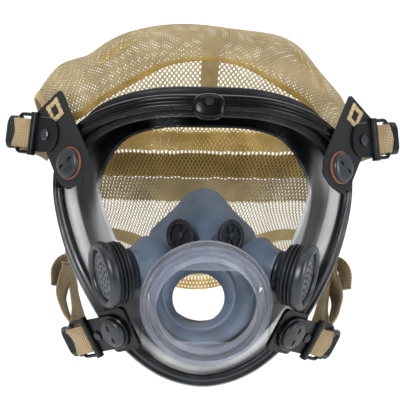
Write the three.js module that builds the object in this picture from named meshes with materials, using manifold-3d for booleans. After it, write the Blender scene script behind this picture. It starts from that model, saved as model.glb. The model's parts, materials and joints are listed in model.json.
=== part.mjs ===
// Full face respirator for firefighting, as worn on an upright head.
// Millimetres. +X is to the right of a viewer in front of the mask, -Y is forward, +Z is up.
// The origin is the middle of the face opening, where the wearer's head sits.

import * as THREE from 'three';
import { mergeVertices } from 'three/addons/utils/BufferGeometryUtils.js';
import Module from 'manifold-3d';

const wasm = await Module();
wasm.setup();

// ---------------------------------------------------------------- driving dimensions

const GAP = 0.3;                       // clearance between pieces that touch
const SIDES = [['left', -1], ['right', 1]];

// lens: a cylinder-like bow across the face with a gentler bow from brow to chin
const LENS = {
  frontY: -85, acrossR: 108, uprightR: 220, midZ: -5, thickness: 2.5, edgeInset: 3.2, slotDepth: 12.5,
};

// half outline of the frame's outer edge, brow to chin, as (x, z)
const FRAME_OUTLINE = [
  [0, 99], [42, 95.5], [76, 81], [97, 56], [102.5, 24],
  [96, -8], [81.5, -39], [57, -74], [30, -95.5], [0, -103.5],
];
const FRAME_STATIONS = 48;             // round the whole outline
const UPPER_BEZEL_REACH = 11;          // stations each side of the brow that the upper bezel covers

// regulator port
const PORT = { y: -98, z: -32, tilt: 5, collarR: 43, collarBlendR: 52, holeR: 38.5, collarDrop: 2.6 };
const RING = { flangeR: 43.5, rimR: 38.5, openingR: 33, flatHalf: 26, height: 13 };

// nose cup
const CUP = {
  wall: 2.2, sides: 30, throatR: 17.5, throatZ: -37.5, lipR: 24.5, lipZ: -33.5,
  valveR: 9.4, valveX: 16, valveY: -64, valveZ: 4,
};

// voicemitters
const VOICE = {
  x: 68.3, y: -75, z: -21.7, rimR: 23, plateR: 16.6, barrelR: 21.3, neckR: 14.5, neckEnd: 20.5,
  ductR: 14.5,
};

// harness
const WEB = { width: 20, thick: 1.6 };
const TAB = { width: 33, length: 67, thick: 2.4, belowButton: 16 };
const BUTTON_R = 10;
const BUCKLE = { plateR: 12.3, plateThick: 2.2, bar: 5, wireHalf: 13.2, wireR: 1.3, wireZ: 3.4 };

// Where each fitting sits on the right side: origin, long direction and outward normal.
const UPPER_BUTTON = { at: [90.4, -39.8, 46.8], along: [-24, -40, -45], normal: [0.69, -0.68, 0.24] };
const LOWER_BUTTON = {
  at: [59.5, -72.5, -61.5], along: [0.64, 0.67, -0.37], normal: [0.63, -0.737, -0.246],
};
const UPPER_PIVOT = { up: 30, out: 9, turn: 129 };   // buckle rivet on the tab, from the button

// Route of each right strap from behind its buckle to the net, with its width direction.
const UPPER_STRAP = {
  route: [[115, 16, 45], [116, 28, 38], [117, 40, 34], [117, 52, 31]],
  across: [[-0.3, 0.3, 0.9], [-0.2, 0, 1], [0, -0.2, 1], [0, -0.3, 1]],
};
const LOWER_STRAP = {
  route: [[84, -26, -70], [85, -16, -60], [87, -4, -49], [90, 10, -41], [94, 24, -35], [98, 38, -30]],
  across: [[0.8, 0, 0.6], [1, 0, 0.3], [1, 0, 0.1], [0.9, 0, 0.5], [0.5, 0, 0.9], [0, 0, 1]],
};

// head net: hoops from the brow hem over the crown to the nape hem.
// Each hoop is half an arch, from its side edge to the middle, as (x, y, z).
const NET_HOOPS = [
  [[108, 1, 70], [91, -3, 69], [72, -3, 83.5], [50, -4, 97], [26, -5, 110.5], [0, -5, 114.5]],
  [[118, 12, 78], [106, 13, 94], [80, 14, 109.5], [52, 15, 125], [0, 14, 131]],
  [[114, 34, 52], [110, 40, 85], [83, 44, 107.5], [56, 46, 125], [0, 48, 131]],
  [[106, 48, 20], [108, 66, 54], [84, 84, 87], [50, 96, 104], [0, 100, 111]],
  [[98, 52, -8], [96, 82, 14], [74, 106, 36], [40, 118, 48], [0, 122, 52]],
  [[92, 50, -26], [82, 76, -22], [58, 100, -18], [30, 113, -14], [0, 117, -12]],
  [[86, 44, -38], [68, 68, -42], [46, 84, -56], [24, 94, -79], [0, 98, -85]],
];
const NET = { thick: 2.4, across: 20, along: 14, tapeGap: 1.4, tapeThick: 1.2 };

// ---------------------------------------------------------------- colours

const LOOKS = {
  clear: [0xdfe3ea, 0.05, 0],
  ringClear: [0xc9c9d8, 0.15, 0],
  bezelBlack: [0x15171a, 0.4, 0],
  bezelSlate: [0x2a3036, 0.4, 0],
  sealRubber: [0x2b2c2e, 0.6, 0],
  cupSilicone: [0x5f6b78, 0.55, 0],
  darkRubber: [0x1b2024, 0.6, 0],
  plateGrey: [0x8a8e93, 0.5, 0],
  slatePlastic: [0x333b42, 0.45, 0],
  washerOrange: [0x9a5a34, 0.6, 0],
  blackMetal: [0x16181b, 0.35, 0.6],
  rivetMetal: [0x33363a, 0.35, 0.8],
  tanWebbing: [0xb39a5f, 0.9, 0],
  blackWebbing: [0x1c212b, 0.9, 0],
  netBeige: [0xcdb883, 0.9, 0],
};

// ---------------------------------------------------------------- building helpers

const V = (x, y, z) => new THREE.Vector3(x, y, z);
const mix = THREE.MathUtils.lerp;
const smooth = (x, low, high) => THREE.MathUtils.smoothstep(x, low, high);
const object = new THREE.Group();

function signedVolume(geometry) {
  const p = geometry.attributes.position;
  const index = geometry.index.array;
  const corner = [V(), V(), V()];
  let volume = 0;
  for (let i = 0; i < index.length; i += 3) {
    corner.forEach((c, k) => c.fromBufferAttribute(p, index[i + k]));
    volume += corner[0].dot(corner[1].clone().cross(corner[2])) / 6;
  }
  return volume;
}

function faceOutward(geometry) {
  if (signedVolume(geometry) < 0) geometry.setIndex(Array.from(geometry.index.array).reverse());
  geometry.computeVertexNormals();
  return geometry;
}

// Merge shared vertices, drop the flat triangles that a lathe leaves on its axis, face outward.
function bare(geometry) {
  const copy = geometry.clone();
  copy.deleteAttribute('normal');
  copy.deleteAttribute('uv');
  const merged = mergeVertices(copy, 1e-4);
  const all = merged.index.array;
  const kept = [];
  for (let i = 0; i < all.length; i += 3) {
    const [a, b, c] = all.slice(i, i + 3);
    if (a !== b && b !== c && c !== a) kept.push(a, b, c);
  }
  merged.setIndex(kept);
  return faceOutward(merged);
}

function toSolid(geometry) {
  const closed = bare(geometry);
  return new wasm.Manifold(new wasm.Mesh({
    numProp: 3,
    vertProperties: new Float32Array(closed.attributes.position.array),
    triVerts: new Uint32Array(closed.index.array),
  }));
}

function toGeometry(solid) {
  const mesh = solid.getMesh();
  const geometry = new THREE.BufferGeometry();
  geometry.setAttribute('position', new THREE.BufferAttribute(mesh.vertProperties, 3));
  geometry.setIndex(new THREE.BufferAttribute(mesh.triVerts, 1));
  geometry.computeVertexNormals();
  return geometry;
}

// Subtract the cutters and keep the largest piece, without any loose sliver.
function cut(geometry, ...cutters) {
  const left = cutters.reduce((solid, cutter) => solid.subtract(toSolid(cutter)), toSolid(geometry));
  const pieces = left.decompose().sort((a, b) => b.volume() - a.volume());
  return toGeometry(pieces[0]);
}

function join(geometry, ...others) {
  return toGeometry(others.reduce((solid, other) => solid.add(toSolid(other)), toSolid(geometry)));
}

// Skin a row of closed sections. The path closes on itself, or its ends are capped:
// by a strip for a folded sheet, or by a triangulated outline.
function loft(rows, { closedPath = false, capOutline = null } = {}) {
  const count = rows[0].length;
  const spans = closedPath ? rows.length : rows.length - 1;
  const index = [];
  for (let i = 0; i < spans; i++) {
    const here = i * count;
    const next = ((i + 1) % rows.length) * count;
    for (let j = 0; j < count; j++) {
      const k = (j + 1) % count;
      index.push(here + j, here + k, next + k, here + j, next + k, next + j);
    }
  }
  if (!closedPath) {
    const end = (rows.length - 1) * count;
    for (const [a, b, c] of capTriangles(count, capOutline)) {
      index.push(c, b, a, end + a, end + b, end + c);
    }
  }
  const geometry = new THREE.BufferGeometry();
  const numbers = rows.flat().flatMap((p) => [p.x, p.y, p.z]);
  geometry.setAttribute('position', new THREE.Float32BufferAttribute(numbers, 3));
  geometry.setIndex(index);
  return faceOutward(geometry);
}

function capTriangles(count, capOutline) {
  if (capOutline) {
    const turn = Math.sign(THREE.ShapeUtils.area(capOutline));
    return THREE.ShapeUtils.triangulateShape(capOutline, []).map((triangle) => {
      const sameTurn = Math.sign(THREE.ShapeUtils.area(triangle.map((i) => capOutline[i]))) === turn;
      return sameTurn ? triangle : triangle.reverse();
    });
  }
  const strip = [];
  for (let j = 0; j < count / 2 - 1; j++) {
    const far = count - 1 - j;
    strip.push([j, j + 1, far - 1], [j, far - 1, far]);
  }
  return strip;
}

// A closed (radius, height) profile turned about +Z.
function turned(profile, segments = 32) {
  const points = [...profile, profile[0]].map(([r, h]) => new THREE.Vector2(r, h));
  return bare(new THREE.LatheGeometry(points, segments).rotateX(Math.PI / 2));
}

// A solid disc-like profile that starts and ends on the axis, turned about +Z.
function turnedSolid(profile, segments = 24) {
  const points = profile.map(([r, h]) => new THREE.Vector2(r, h));
  return bare(new THREE.LatheGeometry(points, segments).rotateX(Math.PI / 2));
}

function disc(radius, low, high, segments = 24) {
  return turnedSolid([[0, low], [radius, low], [radius, high], [0, high]], segments);
}

function plate(shape, thickness, curveSegments = 8) {
  const settings = { depth: thickness, bevelEnabled: false, curveSegments };
  return bare(new THREE.ExtrudeGeometry(shape, settings));
}

function circleHole(x, y, radius) {
  return new THREE.Path().absarc(x, y, radius, 0, 2 * Math.PI, true);
}

function roundedRectangle(width, height, radius) {
  const [w, h] = [width / 2 - radius, height / 2 - radius];
  const shape = new THREE.Shape();
  shape.absarc(w, h, radius, 0, Math.PI / 2);
  shape.absarc(-w, h, radius, Math.PI / 2, Math.PI);
  shape.absarc(-w, -h, radius, Math.PI, 1.5 * Math.PI);
  shape.absarc(w, -h, radius, 1.5 * Math.PI, 2 * Math.PI);
  return shape;
}

// A local frame with x along one direction and z along the nearest normal square to it.
function frameAt(origin, along, normal) {
  const x = along.clone().normalize();
  const z = normal.clone().addScaledVector(x, -normal.dot(x)).normalize();
  const y = z.clone().cross(x);
  return new THREE.Matrix4().makeBasis(x, y, z).setPosition(origin);
}

// A local frame that faces exactly along `normal`, with x as near as it can be to `hint`.
function frameFacing(origin, normal, hint) {
  const z = normal.clone().normalize();
  return frameAt(origin, hint.clone().addScaledVector(z, -hint.dot(z)), z);
}

function placed(geometry, frame) {
  return faceOutward(bare(geometry.clone().applyMatrix4(frame)));
}

function add(name, geometry, look, frame = new THREE.Matrix4()) {
  const [color, roughness, metalness] = LOOKS[look];
  const material = new THREE.MeshStandardMaterial({ color, roughness, metalness });
  const mesh = new THREE.Mesh(geometry, material);
  mesh.name = name;
  mesh.applyMatrix4(frame);
  object.add(mesh);
}

// ---------------------------------------------------------------- lens surface and frame line

const portAxis = V(0, -Math.cos(THREE.MathUtils.degToRad(PORT.tilt)),
  -Math.sin(THREE.MathUtils.degToRad(PORT.tilt)));
const portCentre = V(0, PORT.y, PORT.z);
const portFrame = frameAt(portCentre, V(1, 0, 0), portAxis);

function bowY(x, z) {
  const across = LENS.acrossR - Math.sqrt(LENS.acrossR ** 2 - x * x);
  const upright = LENS.uprightR - Math.sqrt(LENS.uprightR ** 2 - (z - LENS.midZ) ** 2);
  return LENS.frontY + across + upright;
}

// The lens face: the plain bow, drawn forward into a flat collar round the port.
function lensY(x, z) {
  const away = Math.hypot(x, z - PORT.z);
  const collarY = PORT.y - (-PORT.collarDrop - (z - PORT.z) * portAxis.z) / -portAxis.y;
  return mix(collarY, bowY(x, z), smooth(away, PORT.collarR, PORT.collarBlendR));
}

function normalOf(surfaceY, x, z) {
  const step = 0.01;
  const slopeX = (surfaceY(x + step, z) - surfaceY(x - step, z)) / (2 * step);
  const slopeZ = (surfaceY(x, z + step) - surfaceY(x, z - step)) / (2 * step);
  return V(slopeX, -1, slopeZ).normalize();
}

// Stations round the frame: the point on the lens, the lens normal and the outward edge direction.
function frameStations() {
  const half = FRAME_OUTLINE.map(([x, z]) => V(x, bowY(x, z), z));
  const mirrored = half.slice(1, -1).reverse().map((p) => V(-p.x, p.y, p.z));
  const curve = new THREE.CatmullRomCurve3([...half, ...mirrored], true, 'centripetal');
  curve.arcLengthDivisions = 1200;
  const stations = [];
  for (let i = 0; i < FRAME_STATIONS; i++) {
    const loose = curve.getPointAt(i / FRAME_STATIONS);
    const point = V(loose.x, bowY(loose.x, loose.z), loose.z);
    const normal = normalOf(bowY, point.x, point.z);
    const tangent = curve.getTangentAt(i / FRAME_STATIONS);
    const outward = tangent.clone().cross(normal).normalize();
    if (outward.dot(V(point.x, 0, point.z)) < 0) outward.negate();
    const bend = (1 - outward.z ** 2) / LENS.acrossR + outward.z ** 2 / LENS.uprightR;
    stations.push({ point, normal, outward, bend });
  }
  return stations;
}

const stations = frameStations();
const station = (i) => stations[(i + FRAME_STATIONS) % FRAME_STATIONS];

// A point beside the frame line: `out` along the curved lens surface, `front` along its normal.
function beside({ point, normal, outward, bend }, out, front) {
  const drop = (bend * out * out) / 2;
  return point.clone().addScaledVector(outward, out).addScaledVector(normal, front - drop);
}

// ---------------------------------------------------------------- facepiece

function makeLens(cutters) {
  const collarRadii = [PORT.holeR, PORT.collarR, (PORT.collarR + PORT.collarBlendR) / 2];
  const rows = stations.map((s) => {
    const seat = beside(s, -LENS.slotDepth, 0);
    const reach = Math.hypot(seat.x, seat.z - PORT.z);
    const towards = [seat.x / reach, (seat.z - PORT.z) / reach];
    const radii = [...collarRadii, ...[0, 0.5].map((f) => mix(PORT.collarBlendR, reach, f))];
    const skin = (back) => [
      ...radii.map((r) => {
        const [x, z] = [towards[0] * r, PORT.z + towards[1] * r];
        return V(x, lensY(x, z), z).addScaledVector(normalOf(lensY, x, z), -back);
      }),
      beside(s, -LENS.slotDepth, -back),
      beside(s, -LENS.edgeInset, -back),
    ];
    return [...skin(0), ...skin(LENS.thickness).reverse()];
  });
  return cut(loft(rows, { closedPath: true }), ...cutters);
}

// Channel section of the bezel as (out, front): two ridges, the outer wall and the slot for
// lens and seal.
const BEZEL_SECTION = [
  [-10.5, 0.3], [-10.5, 2.4], [-8.8, 4.2], [-7.2, 4.2], [-6.2, 2.4], [-4.8, 2.4], [-3.6, 4.2],
  [-1.4, 4.0], [0, 2.2], [0, -6.2], [-1, -7.2], [-9, -7.2], [-9, -5.3], [-2.6, -5.3], [-2.6, 0.3],
];

// The lower bezel's outer wall flares back into a lip.
const LOWER_LIP = [[0, 2.2], [2.6, -3], [2.6, -6.2]];
const LOWER_SECTION = BEZEL_SECTION.flatMap(([out, front]) => {
  if (out !== 0) return [[out, front]];
  return front > 0 ? LOWER_LIP : [];
});

function makeBezel(section, first, last) {
  const rows = [];
  for (let i = first; i <= last; i++) {
    rows.push(section.map(([out, front]) => beside(station(i), out, front)));
  }
  const outline = section.map(([out, front]) => new THREE.Vector2(out, front));
  return loft(rows, { capOutline: outline });
}

// The lower bezel covers the rest of the frame, trimmed to leave a small gap at each joint.
function makeLowerBezel() {
  const bezel = makeBezel(LOWER_SECTION, UPPER_BEZEL_REACH, FRAME_STATIONS - UPPER_BEZEL_REACH);
  const trims = [-1, 1].map((side) => {
    const s = station(side * UPPER_BEZEL_REACH);
    const frame = frameAt(s.point, s.outward, s.normal);
    return placed(new THREE.BoxGeometry(30, 2 * GAP, 30), frame);
  });
  return cut(bezel, ...trims);
}

// Seal sections as skin points (out, front), from the bead in the bezel slot, round the skirt
// behind the bezel and back inward to the reflex lip that meets the face.
const SEAL_BEAD = [[-3.2, -3.9], [-11.5, -3.9], [-11.5, -10]];
const SEAL_SKIRT = {
  brow: [[2, -10], [8, -7], [9, -24], [3, -38], [-13, -28]],
  cheek: [[-3, -10], [3, -9], [12, -17], [6, -28], [-27, -18]],
  chin: [[-2, -10], [3, -9], [10, -24], [8, -42], [-2, -45]],
};
const SEAL_THICK = 2;

function sealSkin({ point }) {
  const brow = smooth(point.z, 40, 84);
  const chin = smooth(-point.z, 30, 92);
  const skirt = SEAL_SKIRT.cheek.map((cheek, k) => cheek.map((value, axis) => (
    value + brow * (SEAL_SKIRT.brow[k][axis] - value) + chin * (SEAL_SKIRT.chin[k][axis] - value)
  )));
  return [...SEAL_BEAD, ...skirt];
}

// Thicken an open polyline to both sides.
function thickened(points, thickness) {
  const sides = points.map(([x, y], i) => {
    const [ax, ay] = points[Math.max(i - 1, 0)];
    const [bx, by] = points[Math.min(i + 1, points.length - 1)];
    const length = Math.hypot(bx - ax, by - ay);
    const [nx, ny] = [-(by - ay) / length, (bx - ax) / length];
    const half = thickness / 2;
    return [[x + nx * half, y + ny * half], [x - nx * half, y - ny * half]];
  });
  return [...sides.map((s) => s[0]), ...sides.map((s) => s[1]).reverse()];
}

function makeFaceSeal() {
  const rows = stations.map((s) => {
    const section = thickened(sealSkin(s), SEAL_THICK);
    return section.map(([out, front]) => beside(s, out, front));
  });
  return loft(rows, { closedPath: true });
}

function makePortRing() {
  const { flangeR, rimR, openingR, height } = RING;
  const body = turned([
    [openingR, 0], [flangeR, 0], [flangeR, 3], [flangeR - 1.5, 4.2], [flangeR - 2.5, 4.2],
    [flangeR - 2.5, 8], [flangeR - 4, 9.4], [rimR, 9.4], [rimR, height - 1], [rimR - 1, height],
    [openingR + 1.2, height], [openingR, height - 1.2],
  ], 40);
  const halfAngle = Math.acos(RING.flatHalf / openingR);
  const web = (middle) => {
    const segment = new THREE.Shape();
    segment.absarc(0, 0, openingR + 0.6, middle - halfAngle, middle + halfAngle);
    return plate(segment, 4, 12).translate(0, 0, 5);
  };
  const notch = new THREE.BoxGeometry(2.4, 3, 8).translate(0, -RING.flatHalf, 9);
  return cut(join(body, web(Math.PI / 2), web(-Math.PI / 2)), notch);
}

function addFacepiece() {
  const housings = SIDES.flatMap(([, side]) => [
    placed(housingShape(0.5), voiceFrame(side)),
    ductShape(side, 0.6),
  ]);
  add('lens', makeLens(housings), 'clear');
  add('upper_bezel', makeBezel(BEZEL_SECTION, -UPPER_BEZEL_REACH, UPPER_BEZEL_REACH), 'bezelBlack');
  add('lower_bezel', makeLowerBezel(), 'bezelSlate');
  add('face_seal', makeFaceSeal(), 'sealRubber');
  add('port_ring', makePortRing(), 'ringClear', portFrame);
  const gasket = turned([[38.6, -2.3], [42.6, -2.3], [42.6, -GAP], [38.6, -GAP]], 32);
  add('port_gasket', gasket, 'darkRubber', portFrame);
}

function addBrowBoss() {
  const brow = station(0);
  const frame = frameAt(beside(brow, -9.5, 4.5), V(1, 0, 0), brow.normal);
  const cap = new THREE.ExtrudeGeometry(roundedRectangle(18.5, 14.5, 4.5), {
    depth: 1.6, bevelSize: 1.5, bevelThickness: 1.4, bevelSegments: 1, curveSegments: 3,
  }).translate(0, 0, 1.4);
  const seat = disc(3.3, 3.2, 6).translate(0, 2.6, 0);
  add('brow_boss', cut(cap, seat), 'bezelBlack', frame);
  const head = disc(3, 3.5, 5, 16);
  const recess = new THREE.BoxGeometry(1, 4, 1).translate(0, 0, 5);
  const crossRecess = new THREE.BoxGeometry(4, 1, 1).translate(0, 0, 5);
  add('brow_screw', cut(head, recess, crossRecess).translate(0, 2.6, 0), 'rivetMetal', frame);
}

// ---------------------------------------------------------------- nose cup and its valves

// Pear-shaped ring: narrow over the nose, full round the mouth.
function pearRing({ half, top, bottom, y, lean = 0 }, count = CUP.sides) {
  const points = [];
  for (let i = 0; i < count; i++) {
    const angle = (2 * Math.PI * i) / count;
    const rise = Math.sin(angle);
    const pinch = 1 - 0.3 * smooth(rise, 0.35, 0.8);
    const z = (top + bottom) / 2 + rise * (top - bottom) / 2;
    points.push(V(half * Math.cos(angle) * pinch, y + lean * rise, z));
  }
  return points;
}

function circleRing(radius, y, z, count = CUP.sides) {
  return pearRing({ half: radius, top: z + radius, bottom: z - radius, y }, count).map((p, i) => {
    const angle = (2 * Math.PI * i) / count;
    return V(radius * Math.cos(angle), p.y, z + radius * Math.sin(angle));
  });
}

function makeNoseCup(cutters) {
  const { wall, throatR, throatZ, lipR, lipZ } = CUP;
  const outside = [
    circleRing(throatR, -72, throatZ),
    circleRing(lipR - 1.5, -80, lipZ),
    circleRing(lipR, -80.5, lipZ),
    circleRing(lipR + 1.5, -73, lipZ),
    pearRing({ half: 36, top: 3, bottom: -71, y: -67, lean: 3 }),
    pearRing({ half: 39, top: 17, bottom: -76, y: -47, lean: 4 }),
    pearRing({ half: 40, top: 27, bottom: -76, y: -24, lean: 2 }),
  ];
  const lip = pearRing({ half: 33, top: 17, bottom: -70, y: -21, lean: 2 });
  const inside = [
    pearRing({ half: 39 - wall, top: 17 - wall, bottom: -76 + wall, y: -45, lean: 4 }),
    pearRing({ half: 36 - wall, top: 3 - wall, bottom: -71 + wall, y: -64.5, lean: 3 }),
    circleRing(throatR + 2, -69.5, throatZ),
  ];
  return cut(loft([...outside, lip, ...inside], { closedPath: true }), ...cutters);
}

function valveFrame(side) {
  const centre = V(side * CUP.valveX, CUP.valveY, CUP.valveZ);
  return frameFacing(centre, V(side * 0.62, -0.74, 0.22), V(0, 0, 1));
}

// Spider seat: a flanged sleeve with a hub held by spokes.
function makeValveSeat() {
  const { valveR } = CUP;
  const sleeve = turned([
    [valveR - 1.4, -1.5], [valveR, -1.5], [valveR, 1.6], [valveR + 1.8, 1.6], [valveR + 1.8, 3],
    [valveR - 1.4, 3],
  ], 24);
  const hub = disc(2.6, 1.6, 3.2, 12);
  const spokes = 5;
  const arms = Array.from({ length: spokes }, (_, i) => new THREE.BoxGeometry(valveR - 1, 1.3, 1.2)
    .translate(valveR / 2, 0, 2.2).rotateZ((2 * Math.PI * i) / spokes));
  return join(sleeve, hub, ...arms);
}

function addNoseCup() {
  const { valveR } = CUP;
  const cutters = [];
  for (const [, side] of SIDES) {
    const bore = disc(valveR + GAP, -8, 8);
    const flangeRoom = disc(valveR + 1.8 + GAP, 1.6 - GAP, 12);
    cutters.push(placed(bore, valveFrame(side)), placed(flangeRoom, valveFrame(side)));
    cutters.push(ductShape(side, GAP));
  }
  add('nose_cup', makeNoseCup(cutters), 'cupSilicone');
  for (const [name, side] of SIDES) {
    add(`inhalation_valve_seat_${name}`, makeValveSeat(), 'darkRubber', valveFrame(side));
    const flap = disc(valveR - 1.4 - GAP, 0.4, 1.2);
    add(`inhalation_flap_${name}`, flap, 'darkRubber', valveFrame(side));
  }
}

// ---------------------------------------------------------------- voicemitters

function voiceFrame(side) {
  const centre = V(side * VOICE.x, VOICE.y, VOICE.z);
  return frameFacing(centre, V(side * 0.92, -0.37, -0.12), V(0, 0, 1));
}

// Ribbed barrel, cone and neck. Grown by `extra` all round, it cuts the pocket in the lens.
function housingShape(extra = 0) {
  const { barrelR, neckR } = VOICE;
  const outside = [
    [barrelR, -5.3], [barrelR, -7.2], [barrelR - 1.4, -8.4], [barrelR, -9.6], [barrelR, -11.6],
    [barrelR - 1.4, -12.8], [barrelR - 0.4, -14.6], [neckR, -18], [neckR, -VOICE.neckEnd],
  ].map(([r, h]) => [r + extra, h]);
  if (extra > 0) {
    const front = VOICE.rimR + extra;
    return turnedSolid([[0, 4], [front, 4], [front, -5.3], ...outside, [0, -VOICE.neckEnd]]);
  }
  const [bore, neckBore] = [barrelR - 4.5, neckR - 2];
  const inside = [[neckBore, -VOICE.neckEnd], [neckBore, -17], [bore, -13], [bore, -5.3]];
  return turned([...outside, ...inside], 20);
}

function addVoicemitter(name, side) {
  const frame = voiceFrame(side);
  const { rimR, plateR } = VOICE;
  const inner = plateR + 0.4;
  const rim = [
    [inner, -5], [inner, 1], [inner + 1, 2.6], [rimR - 2.4, 3], [rimR - 0.6, 2], [rimR, 0],
    [rimR, -3.4], [rimR - 1.2, -5],
  ];
  add(`voicemitter_housing_${name}`, housingShape(), 'darkRubber', frame);
  add(`voicemitter_rim_${name}`, turned(rim, 24), 'slatePlastic', frame);
  add(`voicemitter_grille_${name}`, makeGrille(), 'plateGrey', frame);
  add(`voicemitter_diaphragm_${name}`, disc(plateR, -3.6, -3), 'blackMetal', frame);
  add(`voicemitter_duct_${name}`, ductShape(side), 'cupSilicone');
}

function circlePoints(radius, count, x = 0, y = 0) {
  return Array.from({ length: count }, (_, i) => {
    const angle = (2 * Math.PI * i) / count;
    return new THREE.Vector2(x + radius * Math.cos(angle), y + radius * Math.sin(angle));
  });
}

// Perforated plate: holes on a hexagonal grid inside a circle.
function makeGrille() {
  const face = new THREE.Shape(circlePoints(VOICE.plateR, 28));
  const pitch = 5.4;
  for (let row = -3; row <= 3; row++) {
    for (let column = -3; column <= 3; column++) {
      const x = (column + (row % 2 ? 0.5 : 0)) * pitch;
      const y = row * pitch * Math.sqrt(0.75);
      const inside = Math.hypot(x, y) < VOICE.plateR - 3.2;
      if (inside) face.holes.push(new THREE.Path(circlePoints(1.3, 6, x, y)));
    }
  }
  return plate(face, 1.2).translate(0, 0, -1.2);
}

// Short bent stub from the neck of the housing into the side of the nose cup.
function ductShape(side, extra = 0) {
  const start = V(0, 0, -VOICE.neckEnd - GAP).applyMatrix4(voiceFrame(side));
  const bend = V(0, 0, -VOICE.neckEnd - 9).applyMatrix4(voiceFrame(side));
  const path = new THREE.QuadraticBezierCurve3(start, bend, V(side * 34, -52, -12));
  const { ductR } = VOICE;
  const ring = new THREE.Shape().absarc(0, 0, ductR + extra, 0, 2 * Math.PI);
  if (extra === 0) ring.holes.push(circleHole(0, 0, ductR - 2));
  return bare(new THREE.ExtrudeGeometry(ring, { extrudePath: path, steps: 4, curveSegments: 8 }));
}

// ---------------------------------------------------------------- harness hardware

function fittingFrame({ at, along, normal }, side) {
  return frameAt(V(side * at[0], at[1], at[2]), V(side * along[0], along[1], along[2]),
    V(side * normal[0], normal[1], normal[2]));
}

// Black webbing tab: it lies under the button, with a rounded lower end below it.
function makeTab() {
  const { width, length, thick, belowButton } = TAB;
  const top = belowButton - length;
  const half = width / 2;
  const shape = new THREE.Shape();
  shape.moveTo(top, -half);
  shape.lineTo(4, -half);
  shape.lineTo(belowButton, -half / 2);
  shape.lineTo(belowButton, half / 2);
  shape.lineTo(4, half);
  shape.lineTo(top, half);
  shape.closePath();
  shape.holes.push(circleHole(0, 0, 4 + GAP));
  return plate(shape, thick, 6);
}

// Slotted button: a domed head with two slots, and the post that goes through tab and washer.
function makeButton(postLength) {
  const head = turnedSolid([
    [0, 0], [BUTTON_R, 0], [BUTTON_R, 1.6], [BUTTON_R - 1, 2.6], [BUTTON_R - 4, 3.2], [0, 3.4],
  ], 22);
  const post = disc(4, -postLength, 0.5, 12);
  const slots = [-1, 1].map((s) => new THREE.BoxGeometry(1.8, 4.6, 2.4).translate(0, s * 4.4, 3));
  return cut(join(head, post), ...slots);
}

// U-shaped line of the wire: out along one side, round the outer bar and back.
function wirePath(start, outer) {
  const { wireHalf: half, wireZ: z } = BUCKLE;
  const corner = 1.6;
  const path = new THREE.CurvePath();
  path.add(new THREE.LineCurve3(V(start, -half, z), V(outer - corner, -half, z)));
  path.add(new THREE.QuadraticBezierCurve3(
    V(outer - corner, -half, z), V(outer, -half, z), V(outer, corner - half, z)));
  path.add(new THREE.LineCurve3(V(outer, corner - half, z), V(outer, half - corner, z)));
  path.add(new THREE.QuadraticBezierCurve3(
    V(outer, half - corner, z), V(outer, half, z), V(outer - corner, half, z)));
  path.add(new THREE.LineCurve3(V(outer - corner, half, z), V(start, half, z)));
  return path;
}

// Buckle laid along x from its pivot: plate with a round end, thick cross bar at barX.
function makeBuckle(barX, holes) {
  const { plateR, plateThick, bar, wireHalf } = BUCKLE;
  const shape = new THREE.Shape();
  shape.absarc(0, 0, plateR, Math.PI / 2, 1.5 * Math.PI);
  shape.lineTo(barX, -plateR);
  shape.lineTo(barX, plateR);
  shape.closePath();
  holes.forEach(([x, r]) => shape.holes.push(circleHole(x, 0, r)));
  const base = plate(shape, plateThick, 8);
  const barSection = roundedRectangle(bar, bar, 1.6);
  const barLength = 2 * (wireHalf + 1.8);
  const crossBar = plate(barSection, barLength, 2).rotateX(Math.PI / 2)
    .translate(barX + bar / 2 - 0.8, barLength / 2, bar / 2 + 0.2);
  return join(base, crossBar);
}

function makeWire(barX, outer) {
  const start = barX + BUCKLE.bar - 0.8 + GAP;
  const section = new THREE.Shape().absarc(0, 0, BUCKLE.wireR, 0, 2 * Math.PI);
  const path = wirePath(start, outer);
  return bare(new THREE.ExtrudeGeometry(section, { extrudePath: path, steps: 18, curveSegments: 3 }));
}

// Release tab: two knuckles round the wire's outer bar and a ridged grip beyond it.
function makeReleaseTab(outer) {
  const { wireR, wireZ } = BUCKLE;
  const knuckleR = wireR + 1.9;
  const knuckles = [-1, 1].map((s) => {
    const ear = new THREE.Shape().absarc(0, 0, knuckleR, 0, 2 * Math.PI);
    ear.holes.push(circleHole(0, 0, wireR + 0.4));
    const low = s < 0 ? -11.6 : 10.3;
    return plate(ear, 1.3, 5).rotateX(Math.PI / 2).translate(outer, low + 1.3, wireZ);
  });
  const grip = roundedRectangle(8.6, 23.2, 2.4);
  const body = plate(grip, 2.6, 2).translate(outer + 7.6, 0, wireZ - 1.3);
  const arms = [-1, 1].map((s) => new THREE.BoxGeometry(3.4, 1.3, 2.6)
    .translate(outer + 3.4, s * 10.95, wireZ));
  const ridges = [-2, 0, 2].map((x) => new THREE.BoxGeometry(0.8, 18, 0.8)
    .translate(outer + 8 + x, 0, wireZ + 1.5));
  return join(body, ...knuckles, ...arms, ...ridges);
}

// The end of the webbing, wrapped round the outer bar of the wire.
function makeStrapLoop(barX, outer) {
  const { wireR, wireZ } = BUCKLE;
  const inner = wireR + GAP;
  const outerR = inner + WEB.thick;
  const start = barX + BUCKLE.bar + 0.4;
  const shape = new THREE.Shape();
  shape.moveTo(start, inner);
  shape.lineTo(outer, inner);
  shape.absarc(outer, 0, inner, Math.PI / 2, -Math.PI / 2, true);
  shape.lineTo(start, -inner);
  shape.lineTo(start, -outerR);
  shape.lineTo(outer, -outerR);
  shape.absarc(outer, 0, outerR, -Math.PI / 2, Math.PI / 2, false);
  shape.lineTo(start, outerR);
  shape.closePath();
  return plate(shape, WEB.width, 5).rotateX(Math.PI / 2).translate(0, WEB.width / 2, wireZ);
}

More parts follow.
